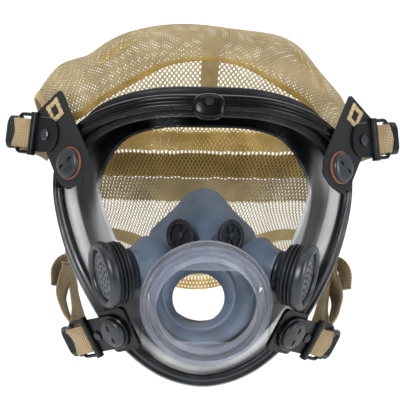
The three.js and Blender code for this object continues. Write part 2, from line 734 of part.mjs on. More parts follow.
function addBuckle(prefix, name, frame, barX, outer, holes) {
  add(`${prefix}_buckle_${name}`, makeBuckle(barX, holes), 'blackMetal', frame);
  add(`${prefix}_wire_${name}`, makeWire(barX, outer), 'blackMetal', frame);
  add(`${prefix}_release_${name}`, makeReleaseTab(outer), 'slatePlastic', frame);
  add(`${prefix}_strap_loop_${name}`, makeStrapLoop(barX, outer), 'tanWebbing', frame);
}

function makeRivet(radius, post) {
  return turnedSolid([
    [0, -post], [2, -post], [2, 0], [radius, 0], [radius, 0.7], [radius - 1, 1.3], [0, 1.3],
  ], 14);
}

function addUpperHardware(name, side) {
  const { thick } = TAB;
  const { up, out, turn } = UPPER_PIVOT;
  const frame = fittingFrame(UPPER_BUTTON, side);
  add(`upper_tab_${name}`, makeTab(), 'blackWebbing', frame);
  const washer = turned([[4 + GAP, 0], [11.4, 0], [11.4, 0.9], [10.6, 1.3], [4 + GAP, 1.3]], 20);
  add(`upper_washer_${name}`, washer.translate(0, 0, thick + GAP), 'washerOrange', frame);
  const button = makeButton(thick + 1.3 + 3 * GAP + 0.6).translate(0, 0, thick + 1.3 + 2 * GAP);
  add(`upper_button_${name}`, button, 'slatePlastic', frame);
  const buckleFrame = frame
    .multiply(new THREE.Matrix4().makeTranslation(-up, side * out, thick + GAP))
    .multiply(new THREE.Matrix4().makeRotationZ(side * THREE.MathUtils.degToRad(turn)));
  addBuckle('upper', name, buckleFrame, 10, 26.5, [[0, 2 + GAP]]);
  const rivet = makeRivet(4, BUCKLE.plateThick).translate(0, 0, BUCKLE.plateThick + GAP);
  add(`upper_rivet_${name}`, rivet, 'rivetMetal', buckleFrame);
}

function addLowerHardware(name, side) {
  const frame = fittingFrame(LOWER_BUTTON, side);
  const base = roundedRectangle(27, 31, 4);
  base.holes.push(circleHole(2.5, 0, 4 + GAP));
  add(`lower_lug_${name}`, plate(base, 2.6, 4).translate(-2.5, 0, -2.6 - GAP), 'bezelBlack', frame);
  const button = makeButton(BUCKLE.plateThick + 2.6 + 3 * GAP);
  button.translate(0, 0, BUCKLE.plateThick + GAP);
  add(`lower_button_${name}`, button, 'slatePlastic', frame);
  addBuckle('lower', name, frame, 22, 39, [[0, 4 + GAP], [17, 2 + GAP]]);
  const rivet = makeRivet(3.4, BUCKLE.plateThick - 0.2);
  add(`lower_rivet_${name}`, rivet.translate(17, 0, BUCKLE.plateThick + GAP), 'rivetMetal', frame);
}

// ---------------------------------------------------------------- webbing and head net

// Flat webbing along a path; `across` gives its width direction at each path point.
function ribbon(points, across, width, thick, steps) {
  const path = new THREE.CatmullRomCurve3(points);
  const turn = new THREE.CatmullRomCurve3(across);
  const rows = [];
  for (let i = 0; i <= steps; i++) {
    const at = path.getPoint(i / steps);
    const tangent = path.getTangent(i / steps);
    const wide = turn.getPoint(i / steps);
    wide.addScaledVector(tangent, -wide.dot(tangent)).normalize();
    const normal = tangent.clone().cross(wide).normalize();
    const corner = (w, t) => at.clone()
      .addScaledVector(wide, (w * width) / 2)
      .addScaledVector(normal, (t * thick) / 2);
    rows.push([corner(-1, -1), corner(1, -1), corner(1, 1), corner(-1, 1)]);
  }
  return loft(rows);
}

const mirrorX = (points, side) => points.map(([x, y, z]) => V(side * x, y, z));

function addStraps(name, side) {
  for (const [prefix, { route, across }] of [['upper', UPPER_STRAP], ['lower', LOWER_STRAP]]) {
    const strap = ribbon(mirrorX(route, side), mirrorX(across, side), WEB.width, WEB.thick, 14);
    add(`${prefix}_strap_${name}`, strap, 'tanWebbing');
  }
}

// The net's middle surface: u runs across from left to right, v from brow hem to nape hem.
function netSurface(u, v) {
  const hoops = NET_HOOPS.map((half) => {
    const left = half.map(([x, y, z]) => V(-x, y, z));
    const right = half.slice(0, -1).reverse().map(([x, y, z]) => V(x, y, z));
    return new THREE.CatmullRomCurve3([...left, ...right]).getPoint(u);
  });
  return new THREE.CatmullRomCurve3(hoops).getPoint(v);
}

function netNormal(u, v) {
  const step = 0.004;
  const [u0, u1] = [Math.max(u - step, 0), Math.min(u + step, 1)];
  const [v0, v1] = [Math.max(v - step, 0), Math.min(v + step, 1)];
  const across = netSurface(u1, v).sub(netSurface(u0, v));
  const along = netSurface(u, v1).sub(netSurface(u, v0));
  return along.cross(across).normalize();
}

function netPoint(u, v, out) {
  return netSurface(u, v).addScaledVector(netNormal(u, v), out);
}

function netPatch(u0, u1, v0, v1, across, along, inner, outer) {
  const rows = [];
  for (let j = 0; j <= along; j++) {
    const v = mix(v0, v1, j / along);
    const steps = Array.from({ length: across + 1 }, (_, i) => mix(u0, u1, i / across));
    const skin = (out) => steps.map((u) => netPoint(u, v, out));
    rows.push([...skin(outer), ...skin(inner).reverse()]);
  }
  return loft(rows);
}

function addHeadNet() {
  const half = NET.thick / 2;
  add('head_net', netPatch(0, 1, 0, 1, NET.across, NET.along, -half, half), 'netBeige');
  const { across, along, tapeGap, tapeThick } = NET;
  const skins = [half + tapeGap, half + tapeGap + tapeThick];
  const band = netPatch(1 / across, 1 - 1 / across, 1 - 1 / along, 1, across - 2, 1, ...skins);
  add('nape_band', band, 'tanWebbing');
  const tape = netPatch(0.5, 0.5 + 1 / across, 6 / along, 8 / along, 1, 2, ...skins);
  add('crown_tape', tape, 'tanWebbing');
}

// ---------------------------------------------------------------- assembly

addFacepiece();
addBrowBoss();
addNoseCup();
for (const [name, side] of SIDES) {
  addVoicemitter(name, side);
  addUpperHardware(name, side);
  addLowerHardware(name, side);
  addStraps(name, side);
}
addHeadNet();

export default object;
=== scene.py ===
"""Full face respirator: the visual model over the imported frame.

Lengths in the shape code are in millimetres and are scaled to metres when a mesh is made.
"""

import json
import math

import bmesh
import bpy
import numpy as np
from mathutils import Matrix, Vector


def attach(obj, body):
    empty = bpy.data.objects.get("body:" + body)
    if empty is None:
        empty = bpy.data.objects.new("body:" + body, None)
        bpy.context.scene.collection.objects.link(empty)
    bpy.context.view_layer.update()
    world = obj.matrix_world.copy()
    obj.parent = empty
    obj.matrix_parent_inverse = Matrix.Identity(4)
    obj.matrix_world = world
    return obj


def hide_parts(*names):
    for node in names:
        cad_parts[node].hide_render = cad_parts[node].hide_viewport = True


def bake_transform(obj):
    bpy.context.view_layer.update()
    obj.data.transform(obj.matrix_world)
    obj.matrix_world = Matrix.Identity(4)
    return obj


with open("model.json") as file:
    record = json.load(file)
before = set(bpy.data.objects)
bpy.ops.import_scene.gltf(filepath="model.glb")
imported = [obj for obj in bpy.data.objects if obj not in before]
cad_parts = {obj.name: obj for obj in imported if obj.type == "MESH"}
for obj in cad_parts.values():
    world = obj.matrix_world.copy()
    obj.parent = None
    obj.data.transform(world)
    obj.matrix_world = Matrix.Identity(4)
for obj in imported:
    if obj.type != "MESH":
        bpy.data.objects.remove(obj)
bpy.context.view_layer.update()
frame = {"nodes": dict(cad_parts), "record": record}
MM = 0.001
ROOT = "facepiece"
SIDES = (("left", -1), ("right", 1))
CREASE = 38                              # degrees; a sharper edge than this stays sharp

# ---- driving dimensions, mm

LENS = dict(front_y=-85, across_r=108, upright_r=220, mid_z=-5, thickness=2.5, edge=-3.2, seat=-12.5)
# The frame line from brow to chin, as (x, z) on one side.
FRAME_OUTLINE = [
    (0, 99), (42, 95.5), (76, 81), (97, 56), (102.5, 24),
    (96, -8), (81.5, -39), (57, -74), (30, -95.5), (0, -103.5),
]
UPPER_BEZEL_SHARE, BEZEL_JOINT = 11 / 48, 0.0002
PORT = dict(y=-98, z=-32, tilt=5, collar_r=43, blend_r=52, hole_r=38.5, drop=2.6)
CUP = dict(wall=2.2, throat_r=17.5, throat_z=-37.5, lip_r=24.5, lip_z=-33.5)
CUP_SET = -4                             # the soft throat sits a little to one side
VALVE = dict(r=9.4, at=(16, -64, 4), normal=(0.62, -0.74, 0.22))
VOICE = dict(at=(68.3, -75, -21.7), normal=(0.92, -0.37, -0.12), rim_r=23, plate_r=16.6,
             barrel_r=21.3, neck_r=14.5, neck_end=20.5, duct_r=14.5)
WEB_WIDTH, WEB_THICK, TAIL_WIDTH = 20, 1.6, 17
TAPE_THICK = 1.2
BUTTON_R = 10
BUCKLE = dict(plate_r=12.3, thick=2.2, bar=5, wire_half=13.2, wire_r=1.3, wire_z=3.4)
UPPER_BUTTON = dict(at=(90.4, -39.8, 46.8), along=(-24, -40, -45), normal=(0.69, -0.68, 0.24),
                    lift=4.3)
LOWER_BUTTON = dict(at=(59.5, -72.5, -61.5), along=(0.64, 0.67, -0.37),
                    normal=(0.63, -0.737, -0.246), lift=2.5)
UPPER_PIVOT = dict(up=30, out=9, lift=2.7, turn=129)

# Half hoops of the head net from the brow hem to the nape hem, side edge to middle.
NET_HOOPS = [
    [(108, 1, 70), (91, -3, 69), (72, -3, 83.5), (50, -4, 97), (26, -5, 110.5), (0, -5, 114.5)],
    [(118, 12, 78), (106, 13, 94), (80, 14, 109.5), (52, 15, 125), (0, 14, 131)],
    [(114, 34, 52), (110, 40, 85), (83, 44, 107.5), (56, 46, 125), (0, 48, 131)],
    [(106, 48, 20), (108, 66, 54), (84, 84, 87), (50, 96, 104), (0, 100, 111)],
    [(98, 52, -8), (96, 82, 14), (74, 106, 36), (40, 118, 48), (0, 122, 52)],
    [(92, 50, -26), (82, 76, -22), (58, 100, -18), (30, 113, -14), (0, 117, -12)],
    [(86, 44, -38), (68, 68, -42), (46, 84, -56), (24, 94, -79), (0, 98, -85)],
]

# ---- vectors and curves


def vec(*xyz):
    return np.array(xyz, float)


def unit(a):
    """A vector, or each row of an array, at length one."""
    return a / np.linalg.norm(a, axis=-1, keepdims=True)


def travelled(points):
    """The length along a polyline at each of its points."""
    steps = np.linalg.norm(np.diff(points, axis=0), axis=1)
    return np.concatenate([[0], np.cumsum(steps)])


def mirrored(xyz, side):
    return vec(side * xyz[0], xyz[1], xyz[2])


def smooth(x, low, high):
    t = np.clip((x - low) / (high - low), 0, 1)
    return t * t * (3 - 2 * t)


def lerp(a, b, t):
    return a + (b - a) * t


def full_turn(count):
    return np.linspace(0, 2 * math.pi, count, endpoint=False)


def catmull(points, t, closed=False):
    """Centripetal Catmull-Rom curve through points at t from 0 to 1. Points may be rows."""
    p = np.asarray(points, float)
    spans = len(p) if closed else len(p) - 1
    before, after = (p[-1:], p[:2]) if closed else (2 * p[:1] - p[1:2], 2 * p[-1:] - p[-2:-1])
    i = min(int(spans * t), spans - 1)
    w = spans * t - i
    quad = np.concatenate([before, p, after])[i:i + 4]
    a, b, c, d = quad
    gaps = np.linalg.norm(np.diff(quad, axis=0), axis=-1, keepdims=True) ** 0.5
    d0, d1, d2 = np.maximum(gaps, 1e-4)
    t1 = ((b - a) / d0 - (c - a) / (d0 + d1) + (c - b) / d1) * d1
    t2 = ((c - b) / d1 - (d - b) / (d1 + d2) + (d - c) / d2) * d1
    return b + t1 * w + (-3 * b + 3 * c - 2 * t1 - t2) * w**2 + (2 * b - 2 * c + t1 + t2) * w**3


def spaced(polyline, shares):
    """Points at the given shares of a polyline's length."""
    length = travelled(polyline)
    return np.stack([np.interp(np.asarray(shares) * length[-1], length, column)
                     for column in polyline.T], axis=1)


def fillet(outline, radius, steps=3, closed=True):
    """Round the corners of a 2-D outline with short curves."""
    points = np.asarray(outline, float)
    out = []
    for i, p in enumerate(points):
        if not closed and i in (0, len(points) - 1):
            out.append(p)
            continue
        back, ahead = points[i - 1] - p, points[(i + 1) % len(points)] - p
        lengths = np.linalg.norm(back), np.linalg.norm(ahead)
        cut = min(radius, 0.45 * lengths[0], 0.45 * lengths[1])
        start, end = p + back / lengths[0] * cut, p + ahead / lengths[1] * cut
        for t in np.linspace(0, 1, steps + 1):
            out.append((1 - t) ** 2 * start + 2 * t * (1 - t) * p + t**2 * end)
    return np.array(out)


def frame_at(origin, along, normal):
    """Local frame: x along one direction, z along the nearest normal square to it."""
    x = unit(np.asarray(along, float))
    z = unit(normal - x * np.dot(normal, x))
    matrix = np.eye(4)
    matrix[:3, 0], matrix[:3, 1], matrix[:3, 2], matrix[:3, 3] = x, np.cross(z, x), z, origin
    return matrix


def facing_frame(fitting, side):
    """Frame at a round fitting: z out along its normal, and x as near upright as it can be."""
    z = unit(mirrored(fitting["normal"], side))
    up = vec(0, 0, 1)
    return frame_at(mirrored(fitting["at"], side), up - z * np.dot(up, z), z)


def fitting_frame(fitting, side):
    return frame_at(*[mirrored(fitting[key], side) for key in ("at", "along", "normal")])


def moved(matrix, dx=0.0, dy=0.0, dz=0.0, turn=0.0):
    local = np.eye(4)
    c, s = math.cos(math.radians(turn)), math.sin(math.radians(turn))
    local[:2, :2] = [[c, -s], [s, c]]
    local[:3, 3] = dx, dy, dz
    return matrix @ local


def apply(matrix, points):
    points = np.asarray(points, float)
    return points @ matrix[:3, :3].T + matrix[:3, 3]


# ---- meshes


class Shape:
    """Vertices in mm, faces, and an optional (u, v) in mm for each vertex."""

    def __init__(self):
        self.points = []
        self.faces = []
        self.uvs = []

    def extend(self, points, faces, uvs=None):
        start = len(self.points)
        self.points.extend(np.asarray(points, float).reshape(-1, 3))
        self.faces.extend(tuple(start + i for i in face) for face in faces)
        self.uvs.extend(uvs if uvs is not None else [(0.0, 0.0)] * (len(self.points) - start))
        return self

    def grid(self, rows, close_rows=False, close_columns=True, uvs=None, caps=False):
        rows = np.asarray(rows, float)
        n, m = rows.shape[:2]
        faces = []
        for i in range(n if close_rows else n - 1):
            for j in range(m if close_columns else m - 1):
                here, below = i * m, ((i + 1) % n) * m
                k = (j + 1) % m
                faces.append((here + j, here + k, below + k, below + j))
        if caps:
            faces.append(tuple(range(m))[::-1])
            faces.append(tuple(range((n - 1) * m, n * m)))
        flat = None if uvs is None else [tuple(p) for p in np.asarray(uvs).reshape(-1, 2)]
        return self.extend(rows.reshape(-1, 3), faces, flat)

    def lathe(self, matrix, profile, segments=64, closed=True):
        """A (radius, height) profile turned about the frame's z axis."""
        rows = [[apply(matrix, (r * math.cos(a), r * math.sin(a), h)) for r, h in profile]
                for a in full_turn(segments)]
        return self.grid(rows, close_rows=True, close_columns=closed)

    def slab(self, matrix, outline, low, high, edge=0.4):
        """A flat plate with softened edges, with its outline in the frame's x and y."""
        outline = np.asarray(outline, float)
        inward = inset(outline, edge)
        rings = [(inward, low), (outline, low + edge), (outline, high - edge), (inward, high)]
        rows = [apply(matrix, [(x, y, h) for x, y in ring]) for ring, h in rings]
        uvs = [[(y, x) for x, y in ring] for ring, _ in rings]
        return self.grid(rows, caps=True, uvs=uvs)

    def tube(self, path, radius, sides=12, closed=False):
        """A round tube along a path, with one radius or one for each point of the path."""
        path = np.asarray(path, float)
        side = unit(np.cross(path[1] - path[0], vec(0.3, 0.5, 0.81)))
        rows = []
        radii = np.broadcast_to(radius, len(path))
        for p, r, tangent in zip(path, radii, unit(np.gradient(path, axis=0))):
            side = unit(side - tangent * np.dot(side, tangent))
            up = np.cross(tangent, side)
            rows.append([p + r * (math.cos(a) * side + math.sin(a) * up) for a in full_turn(sides)])
        return self.grid(rows, close_rows=closed, caps=not closed)

    def build(self, name, material, crease=CREASE):
        mesh = bpy.data.meshes.new(name)
        mesh.from_pydata((np.array(self.points) * MM).tolist(), [], self.faces)
        layer = mesh.uv_layers.new(name="uv")
        corner = np.zeros(len(mesh.loops), np.int32)
        mesh.loops.foreach_get("vertex_index", corner)
        layer.data.foreach_set("uv", np.array(self.uvs, float)[corner].ravel())
        piece = bpy.data.objects.new(name, mesh)
        bpy.context.scene.collection.objects.link(piece)
        piece.data.materials.append(material)
        recalculate(mesh)
        soften(mesh, crease)
        return piece

    def cutter(self):
        return self.build("cutter", LOOK["bezelBlack"])


def inset(outline, distance):
    """Move an outline inward by `distance`, whichever way round it runs."""
    after, before = np.roll(outline, -1, axis=0), np.roll(outline, 1, axis=0)
    direction = unit(unit(after - outline) + unit(outline - before))
    twice_area = np.sum(outline[:, 0] * after[:, 1] - outline[:, 1] * after[:, 0])
    turn = 1 if twice_area > 0 else -1
    return outline + turn * distance * np.stack([-direction[:, 1], direction[:, 0]], axis=1)


def recalculate(mesh):
    """Join doubled vertices and turn the faces outward."""
    work = bmesh.new()
    work.from_mesh(mesh)
    bmesh.ops.remove_doubles(work, verts=work.verts, dist=1e-7)
    bmesh.ops.recalc_face_normals(work, faces=work.faces)
    work.to_mesh(mesh)
    work.free()


def soften(mesh, crease):
    mesh.polygons.foreach_set("use_smooth", [True] * len(mesh.polygons))
    mesh.set_sharp_from_angle(angle=math.radians(crease))


def carve(piece, cutters):
    """Cut the cutter objects out of the piece and delete them."""
    for cutter in cutters:
        modifier = piece.modifiers.new("cut", "BOOLEAN")
        modifier.object = cutter
        modifier.operation = "DIFFERENCE"
        modifier.solver = "EXACT"
    graph = bpy.context.evaluated_depsgraph_get()
    result = bpy.data.meshes.new_from_object(piece.evaluated_get(graph))
    piece.modifiers.clear()
    piece.data = result
    for cutter in cutters:
        bpy.data.objects.remove(cutter)
    soften(result, CREASE)


def paint(piece, name, amounts):
    """Store one number per vertex for the piece's material to read."""
    layer = piece.data.attributes.new(name, "FLOAT", "POINT")
    layer.data.foreach_set("value", np.asarray(amounts, np.float32).ravel())


def settle(piece, body, slot, *nodes):
    """Put a finished piece on its CAD body and hide the CAD nodes it stands for; the slot is not used."""
    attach(piece, body)
    if nodes:
        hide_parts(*nodes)
    return piece


def skin(shape, node, slot, body=ROOT, crease=CREASE, cut=()):
    """Build the piece that stands for one CAD node, in the material of its slot."""
    piece = shape.build(f"{node}_skin", LOOK[slot], crease)
    if cut:
        carve(piece, cut)
    return settle(piece, body, slot, node)


# ---- materials


class Nodes:
    """Short-hand for building the node tree of a material, or of the world."""

    def __init__(self, owner, shader="Principled BSDF"):
        self.owner = owner
        owner.use_nodes = True
        self.tree = owner.node_tree
        self.shader = self.tree.nodes[shader]

    def add(self, kind, settings=None, **inputs):
        node = self.tree.nodes.new(kind)
        for key, value in (settings or {}).items():
            setattr(node, key, value)
        for key, value in inputs.items():
            self.feed(node.inputs[key.replace("_", " ")], value)
        return node

    def feed(self, socket, value):
        if isinstance(value, bpy.types.NodeSocket):
            self.tree.links.new(value, socket)
        else:
            socket.default_value = value

    def noise(self, scale, detail=3.0):
        where = self.add("ShaderNodeTexCoord").outputs["Object"]
        return self.add("ShaderNodeTexNoise", Vector=where, Scale=scale, Detail=detail).outputs["Fac"]

    def spread(self, noise, low, high):
        """Stretch the middle of a noise's range over low to high."""
        node = self.add("ShaderNodeMapRange", Value=noise, From_Min=0.35, From_Max=0.65,
                        To_Min=low, To_Max=high)
        return node.outputs["Result"]

    def shade(self, scale, dark, light):
        """A colour that wanders between two others in blotches."""
        return self.mix(self.spread(self.noise(scale), 0, 1), rgb(*dark), rgb(*light))

    def mix(self, factor, a, b):
        node = self.add("ShaderNodeMix", {"data_type": "RGBA"})
        self.feed(node.inputs["Factor"], factor)
        self.feed(node.inputs[6], a)
        self.feed(node.inputs[7], b)
        return node.outputs[2]

    def math(self, operation, a, b=0.0):
        node = self.add("ShaderNodeMath", {"operation": operation})
        self.feed(node.inputs[0], a)
        self.feed(node.inputs[1], b)
        return node.outputs[0]

    def overlay(self, amount, under, over):
        """Show the shader `over` by `amount`, and `under` by the rest."""
        mix = self.add("ShaderNodeMixShader")
        for socket, value in zip(mix.inputs, (amount, under.outputs[0], over.outputs[0])):
            self.feed(socket, value)
        self.feed(self.tree.nodes["Material Output"].inputs["Surface"], mix.outputs[0])

    def bump(self, height, depth, strength=1.0):
        node = self.add("ShaderNodeBump", Height=height, Distance=depth, Strength=strength)
        self.feed(self.shader.inputs["Normal"], node.outputs["Normal"])

    def set(self, **inputs):
        for key, value in inputs.items():
            self.feed(self.shader.inputs[key.replace("_", " ")], value)


def rgb(red, green, blue):
    """A colour given on a screen, 0 to 255, as linear light."""
    return tuple(((c / 255 + 0.055) / 1.055) ** 2.4 for c in (red, green, blue)) + (1.0,)


def moulded(name, dark, light, rough, patch=30, **extra):
    """Moulded plastic or rubber: faint blotches, uneven gloss and a fine grain."""
    n = Nodes(bpy.data.materials.new(name))
    n.set(Base_Color=n.shade(patch, dark, light), Roughness=n.spread(n.noise(patch * 3), *rough),
          **extra)
    n.bump(n.noise(600, 2.0), 0.00001)
    return n.owner


def webbing(name, dark, light, pitch, sheen=0.2):
    """Woven tape: two crossing sets of threads in the tape's own (across, along) lengths."""
    n = Nodes(bpy.data.materials.new(name))
    where = n.add("ShaderNodeUVMap", {"uv_map": "uv"}).outputs["UV"]
    split = n.add("ShaderNodeSeparateXYZ", Vector=where)
    across = n.math("MULTIPLY", split.outputs["X"], 2 * math.pi / pitch)
    along = n.math("MULTIPLY", split.outputs["Y"], 2 * math.pi / (pitch * 1.4))
    warp = n.math("SINE", n.math("ADD", across, along))
    weft = n.math("SINE", n.math("SUBTRACT", across, along))
    thread = n.math("MULTIPLY", warp, weft)
    height = n.math("ADD", n.math("MULTIPLY", thread, 0.5), 0.5)
    # painted shade: the colour darkens where the threads dip, as if shaded between them; the noise adds
    # uneven wear on top
    weave_shade_and_wear = n.math("MULTIPLY", height, n.spread(n.noise(60), 0.55, 1.0))
    n.set(Base_Color=n.mix(weave_shade_and_wear, rgb(*dark), rgb(*light)), Roughness=0.85, Sheen_Weight=sheen)
    n.bump(height, 0.0004, 0.8)
    return n.owner


def two_tone(name, attribute, first, second, rough, grain, depth, glow=0.0, **extra):
    """A blotchy colour that turns into a second one where the named attribute is 1.

    `glow` is the share of the light that comes through from behind.
    """
    n = Nodes(bpy.data.materials.new(name))
    amount = n.add("ShaderNodeAttribute", {"attribute_name": attribute}).outputs["Fac"]
    colour = n.mix(amount, n.shade(50, *first), n.shade(50, *second))
    n.set(Base_Color=colour, Roughness=n.spread(n.noise(90), *rough), **extra)
    n.bump(n.noise(grain, 2.0), depth)
    if glow:
        n.overlay(glow, n.shader, n.add("ShaderNodeBsdfTranslucent", Color=colour))
    return n.owner


def clear_sheet(name, tint, haze, body, edge, rough):
    """Clear plastic: `body` is how much it shows face on, and `edge` how much more at a slant."""
    n = Nodes(bpy.data.materials.new(name))
    n.set(Base_Color=n.shade(40, *haze), Roughness=n.spread(n.noise(18, 4.0), *rough))
    through = n.add("ShaderNodeBsdfTransparent", Color=tint)
    slant = n.add("ShaderNodeLayerWeight", Blend=0.5).outputs["Facing"]
    amount = n.math("ADD", n.math("MULTIPLY", n.math("POWER", slant, 3.0), edge), body)
    n.overlay(amount, through, n.shader)
    return n.owner


def make_looks():
    """One material for each CAD slot, and some more for tapes and thread that have none."""
    return {
        "clear": clear_sheet(
            "clear_lens", (0.95, 0.96, 0.97, 1), ((36, 38, 42), (44, 46, 50)), 0.015, 0.25, (0.03, 0.07)),
        "ringClear": clear_sheet(
            "ring_clear", (0.92, 0.93, 0.96, 1), ((170, 173, 188), (206, 208, 220)), 0.1, 0.8,
            (0.05, 0.12)),
        "bezelBlack": moulded(
            "bezel_black", (3, 4, 5), (10, 11, 13), (0.2, 0.3), Specular_IOR_Level=0.2),
        # lower bezel: black-grey plastic, and a pale grey that is a painted highlight on its outer lip
        "bezelSlate": two_tone(
            "bezel_slate", "lip", ((14, 16, 19), (30, 34, 39)), ((122, 127, 134), (156, 161, 168)),
            (0.28, 0.45), 600, 0.00001, Specular_IOR_Level=0.4),
        # face seal: black rubber, and a pale grey that is painted light, laid on by the seal's attribute
        "sealRubber": two_tone(
            "seal_rubber", "painted_light", ((8, 9, 10), (20, 21, 23)), ((196, 194, 191), (214, 212, 209)),
            (0.45, 0.6), 500, 0.00001, Specular_IOR_Level=0.3),
        # head net: beige thread, and a deeper gold where the gold attribute is 1, which is painted shade
        # in the pleat pockets
        "netBeige": two_tone(
            "net_thread", "gold", ((158, 143, 106), (188, 172, 134)), ((174, 148, 80), (206, 180, 112)),
            (0.85, 0.95), 2600, 0.0002, glow=0.6),
        "cupSilicone": moulded(
            "cup_silicone", (66, 78, 93), (92, 106, 123), (0.34, 0.46), Subsurface_Weight=0.2,
            Subsurface_Scale=0.01),
        "darkRubber": moulded(
            "dark_rubber", (11, 14, 18), (25, 30, 36), (0.4, 0.55), Specular_IOR_Level=0.3),
        "plateGrey": moulded(
            "grille_grey", (66, 70, 76), (96, 101, 108), (0.35, 0.5), Metallic=0.3),
        "stitchThread": moulded(
            "stitch_thread", (150, 130, 88), (192, 174, 132), (0.7, 0.9), patch=900),
        "slatePlastic": moulded("slate_plastic", (16, 20, 24), (34, 40, 47), (0.3, 0.45)),
        "washerOrange": moulded("washer_orange", (80, 44, 28), (118, 72, 48), (0.5, 0.65)),
        "blackMetal": moulded("black_metal", (12, 13, 15), (30, 32, 36), (0.25, 0.4), Metallic=0.6),
        "rivetMetal": moulded("rivet_metal", (40, 42, 46), (80, 84, 90), (0.25, 0.45), Metallic=0.9),
        "tanWebbing": webbing("tan_webbing", (80, 62, 34), (186, 164, 120), 2.2),
        "blackWebbing": webbing("black_webbing", (3, 4, 5), (22, 25, 31), 1.9, 0.0),
        # painted shade: a darker copy of the tan webbing, for the back strap's shaded inner side
        "shadedTanWebbing": webbing("tan_webbing_painted_shade", (84, 66, 32), (150, 126, 74), 1.9),
        "netEdge": webbing("net_edge", (150, 128, 78), (214, 194, 142), 1.4),
    }


LOOK = make_looks()

# ---- camera, light and floor


def aim(obj, location, target, roll=0.0):
    """Point an object's -Z at the target; roll turns it anticlockwise, seen from behind."""
    back = (Vector(location) - Vector(target)).normalized()
    right = Vector((0, 0, 1)).cross(back).normalized()
    up = back.cross(right)
    turned = Matrix.Rotation(math.radians(roll), 3, back)
    basis = turned @ Matrix((right, up, back)).transposed()
    obj.matrix_world = Matrix.Translation(location) @ basis.to_4x4()


def softbox(name, location, size, power, target=(0, 0, 0)):
    lamp = bpy.data.lights.new(name, "AREA")
    lamp.shape = "RECTANGLE"
    lamp.size, lamp.size_y = size
    lamp.energy = power
    obj = bpy.data.objects.new(name, lamp)
    bpy.context.scene.collection.objects.link(obj)
    aim(obj, location, target)


def set_camera():
    azimuth, elevation, distance = math.radians(-2.5), math.radians(14), 1.0
    target = Vector((-0.0035, -0.045, 0.024))
    camera = bpy.data.objects.new("camera", bpy.data.cameras.new("camera"))
    camera.data.sensor_width = 36
    camera.data.lens = 131.8
    bpy.context.scene.collection.objects.link(camera)
    toward = Vector((math.sin(azimuth) * math.cos(elevation),
                     -math.cos(azimuth) * math.cos(elevation), math.sin(elevation)))
    aim(camera, target + distance * toward, target, roll=1.5)
    bpy.context.scene.camera = camera


def set_lights():
    """Four softboxes, and a world that is dim in front and bright behind."""
    softbox("key", (-0.8, -1.3, 0.9), (0.6, 0.6), 29)
    softbox("fill", (1.3, -0.9, 0.5), (0.5, 1.0), 15)
    softbox("top", (0.0, -0.2, 1.5), (1.0, 0.6), 4)
    softbox("sweep", (0.0, 4.2, 2.8), (7.0, 5.5), 190, (0.0, 4.0, 0.0))
    n = Nodes(bpy.data.worlds.new("studio"), "Background")
    way = n.add("ShaderNodeSeparateXYZ", Vector=n.add("ShaderNodeTexCoord").outputs["Generated"])
    strength = n.add("ShaderNodeMapRange", Value=way.outputs["Y"], From_Min=-0.6, From_Max=0.5,
                     To_Min=0.1, To_Max=0.9)
    n.set(Color=(1, 1, 1, 1), Strength=strength.outputs["Result"])
    bpy.context.scene.world = n.owner
    bpy.context.scene.view_settings.view_transform = "Standard"


def set_floor():
    n = Nodes(bpy.data.materials.new("floor_white"))
    n.set(Base_Color=n.mix(n.noise(3), (0.93, 0.93, 0.93, 1), (0.96, 0.96, 0.96, 1)), Roughness=0.9)
    half, back, level = 6000, 9000, -360
    corners = [(-half, -half, level), (half, -half, level), (half, back, level), (-half, back, level)]
    Shape().extend(corners, [(0, 1, 2, 3)]).build("floor", n.owner)


set_camera()
set_lights()
set_floor()

# ---- lens surface and frame line

PORT_AXIS = vec(0, -math.cos(math.radians(PORT["tilt"])), -math.sin(math.radians(PORT["tilt"])))
PORT_FRAME = frame_at(vec(0, PORT["y"], PORT["z"]), vec(1, 0, 0), PORT_AXIS)


def bow_y(x, z):
    across = LENS["across_r"] - math.sqrt(LENS["across_r"] ** 2 - x * x)
    upright = LENS["upright_r"] - math.sqrt(LENS["upright_r"] ** 2 - (z - LENS["mid_z"]) ** 2)
    return LENS["front_y"] + across + upright


def lens_y(x, z):
    """The plain bow, drawn forward into a flat collar round the port."""
    away = math.hypot(x, z - PORT["z"])
    collar = PORT["y"] - (-PORT["drop"] - (z - PORT["z"]) * PORT_AXIS[2]) / -PORT_AXIS[1]
    return lerp(collar, bow_y(x, z), smooth(away, PORT["collar_r"], PORT["blend_r"]))


def surface_normal(height, x, z):
    step = 0.01
    slope_x = (height(x + step, z) - height(x - step, z)) / (2 * step)
    slope_z = (height(x, z + step) - height(x, z - step)) / (2 * step)
    return unit(vec(slope_x, -1, slope_z))


def frame_stations(shares):
    """Points on the frame line with the lens normal, the outward direction and the bend."""
    half = [vec(x, bow_y(x, z), z) for x, z in FRAME_OUTLINE]
    loop = half + [p * (-1, 1, 1) for p in half[-2:0:-1]]
    fine = np.array([catmull(loop, t, True) for t in np.linspace(0, 1, 1201)[:-1]])
    fine = np.vstack([fine, fine[:1]])
    stations = []
    for share in shares:
        near = spaced(fine, [(share - 0.0005) % 1, share % 1, (share + 0.0005) % 1])
        x, z = near[1][0], near[1][2]
        normal = surface_normal(bow_y, x, z)
        outward = unit(np.cross(near[2] - near[0], normal))
        if np.dot(outward, vec(x, 0, z)) < 0:
            outward = -outward
        bend = (1 - outward[2] ** 2) / LENS["across_r"] + outward[2] ** 2 / LENS["upright_r"]
        stations.append((vec(x, bow_y(x, z), z), normal, outward, bend))
    return stations


def beside(station, out, front):
    point, normal, outward, bend = station
    return point + outward * out + normal * (front - bend * out * out / 2)


ROUND = frame_stations(np.linspace(0, 1, 192, endpoint=False))

# ---- voicemitters and ducts


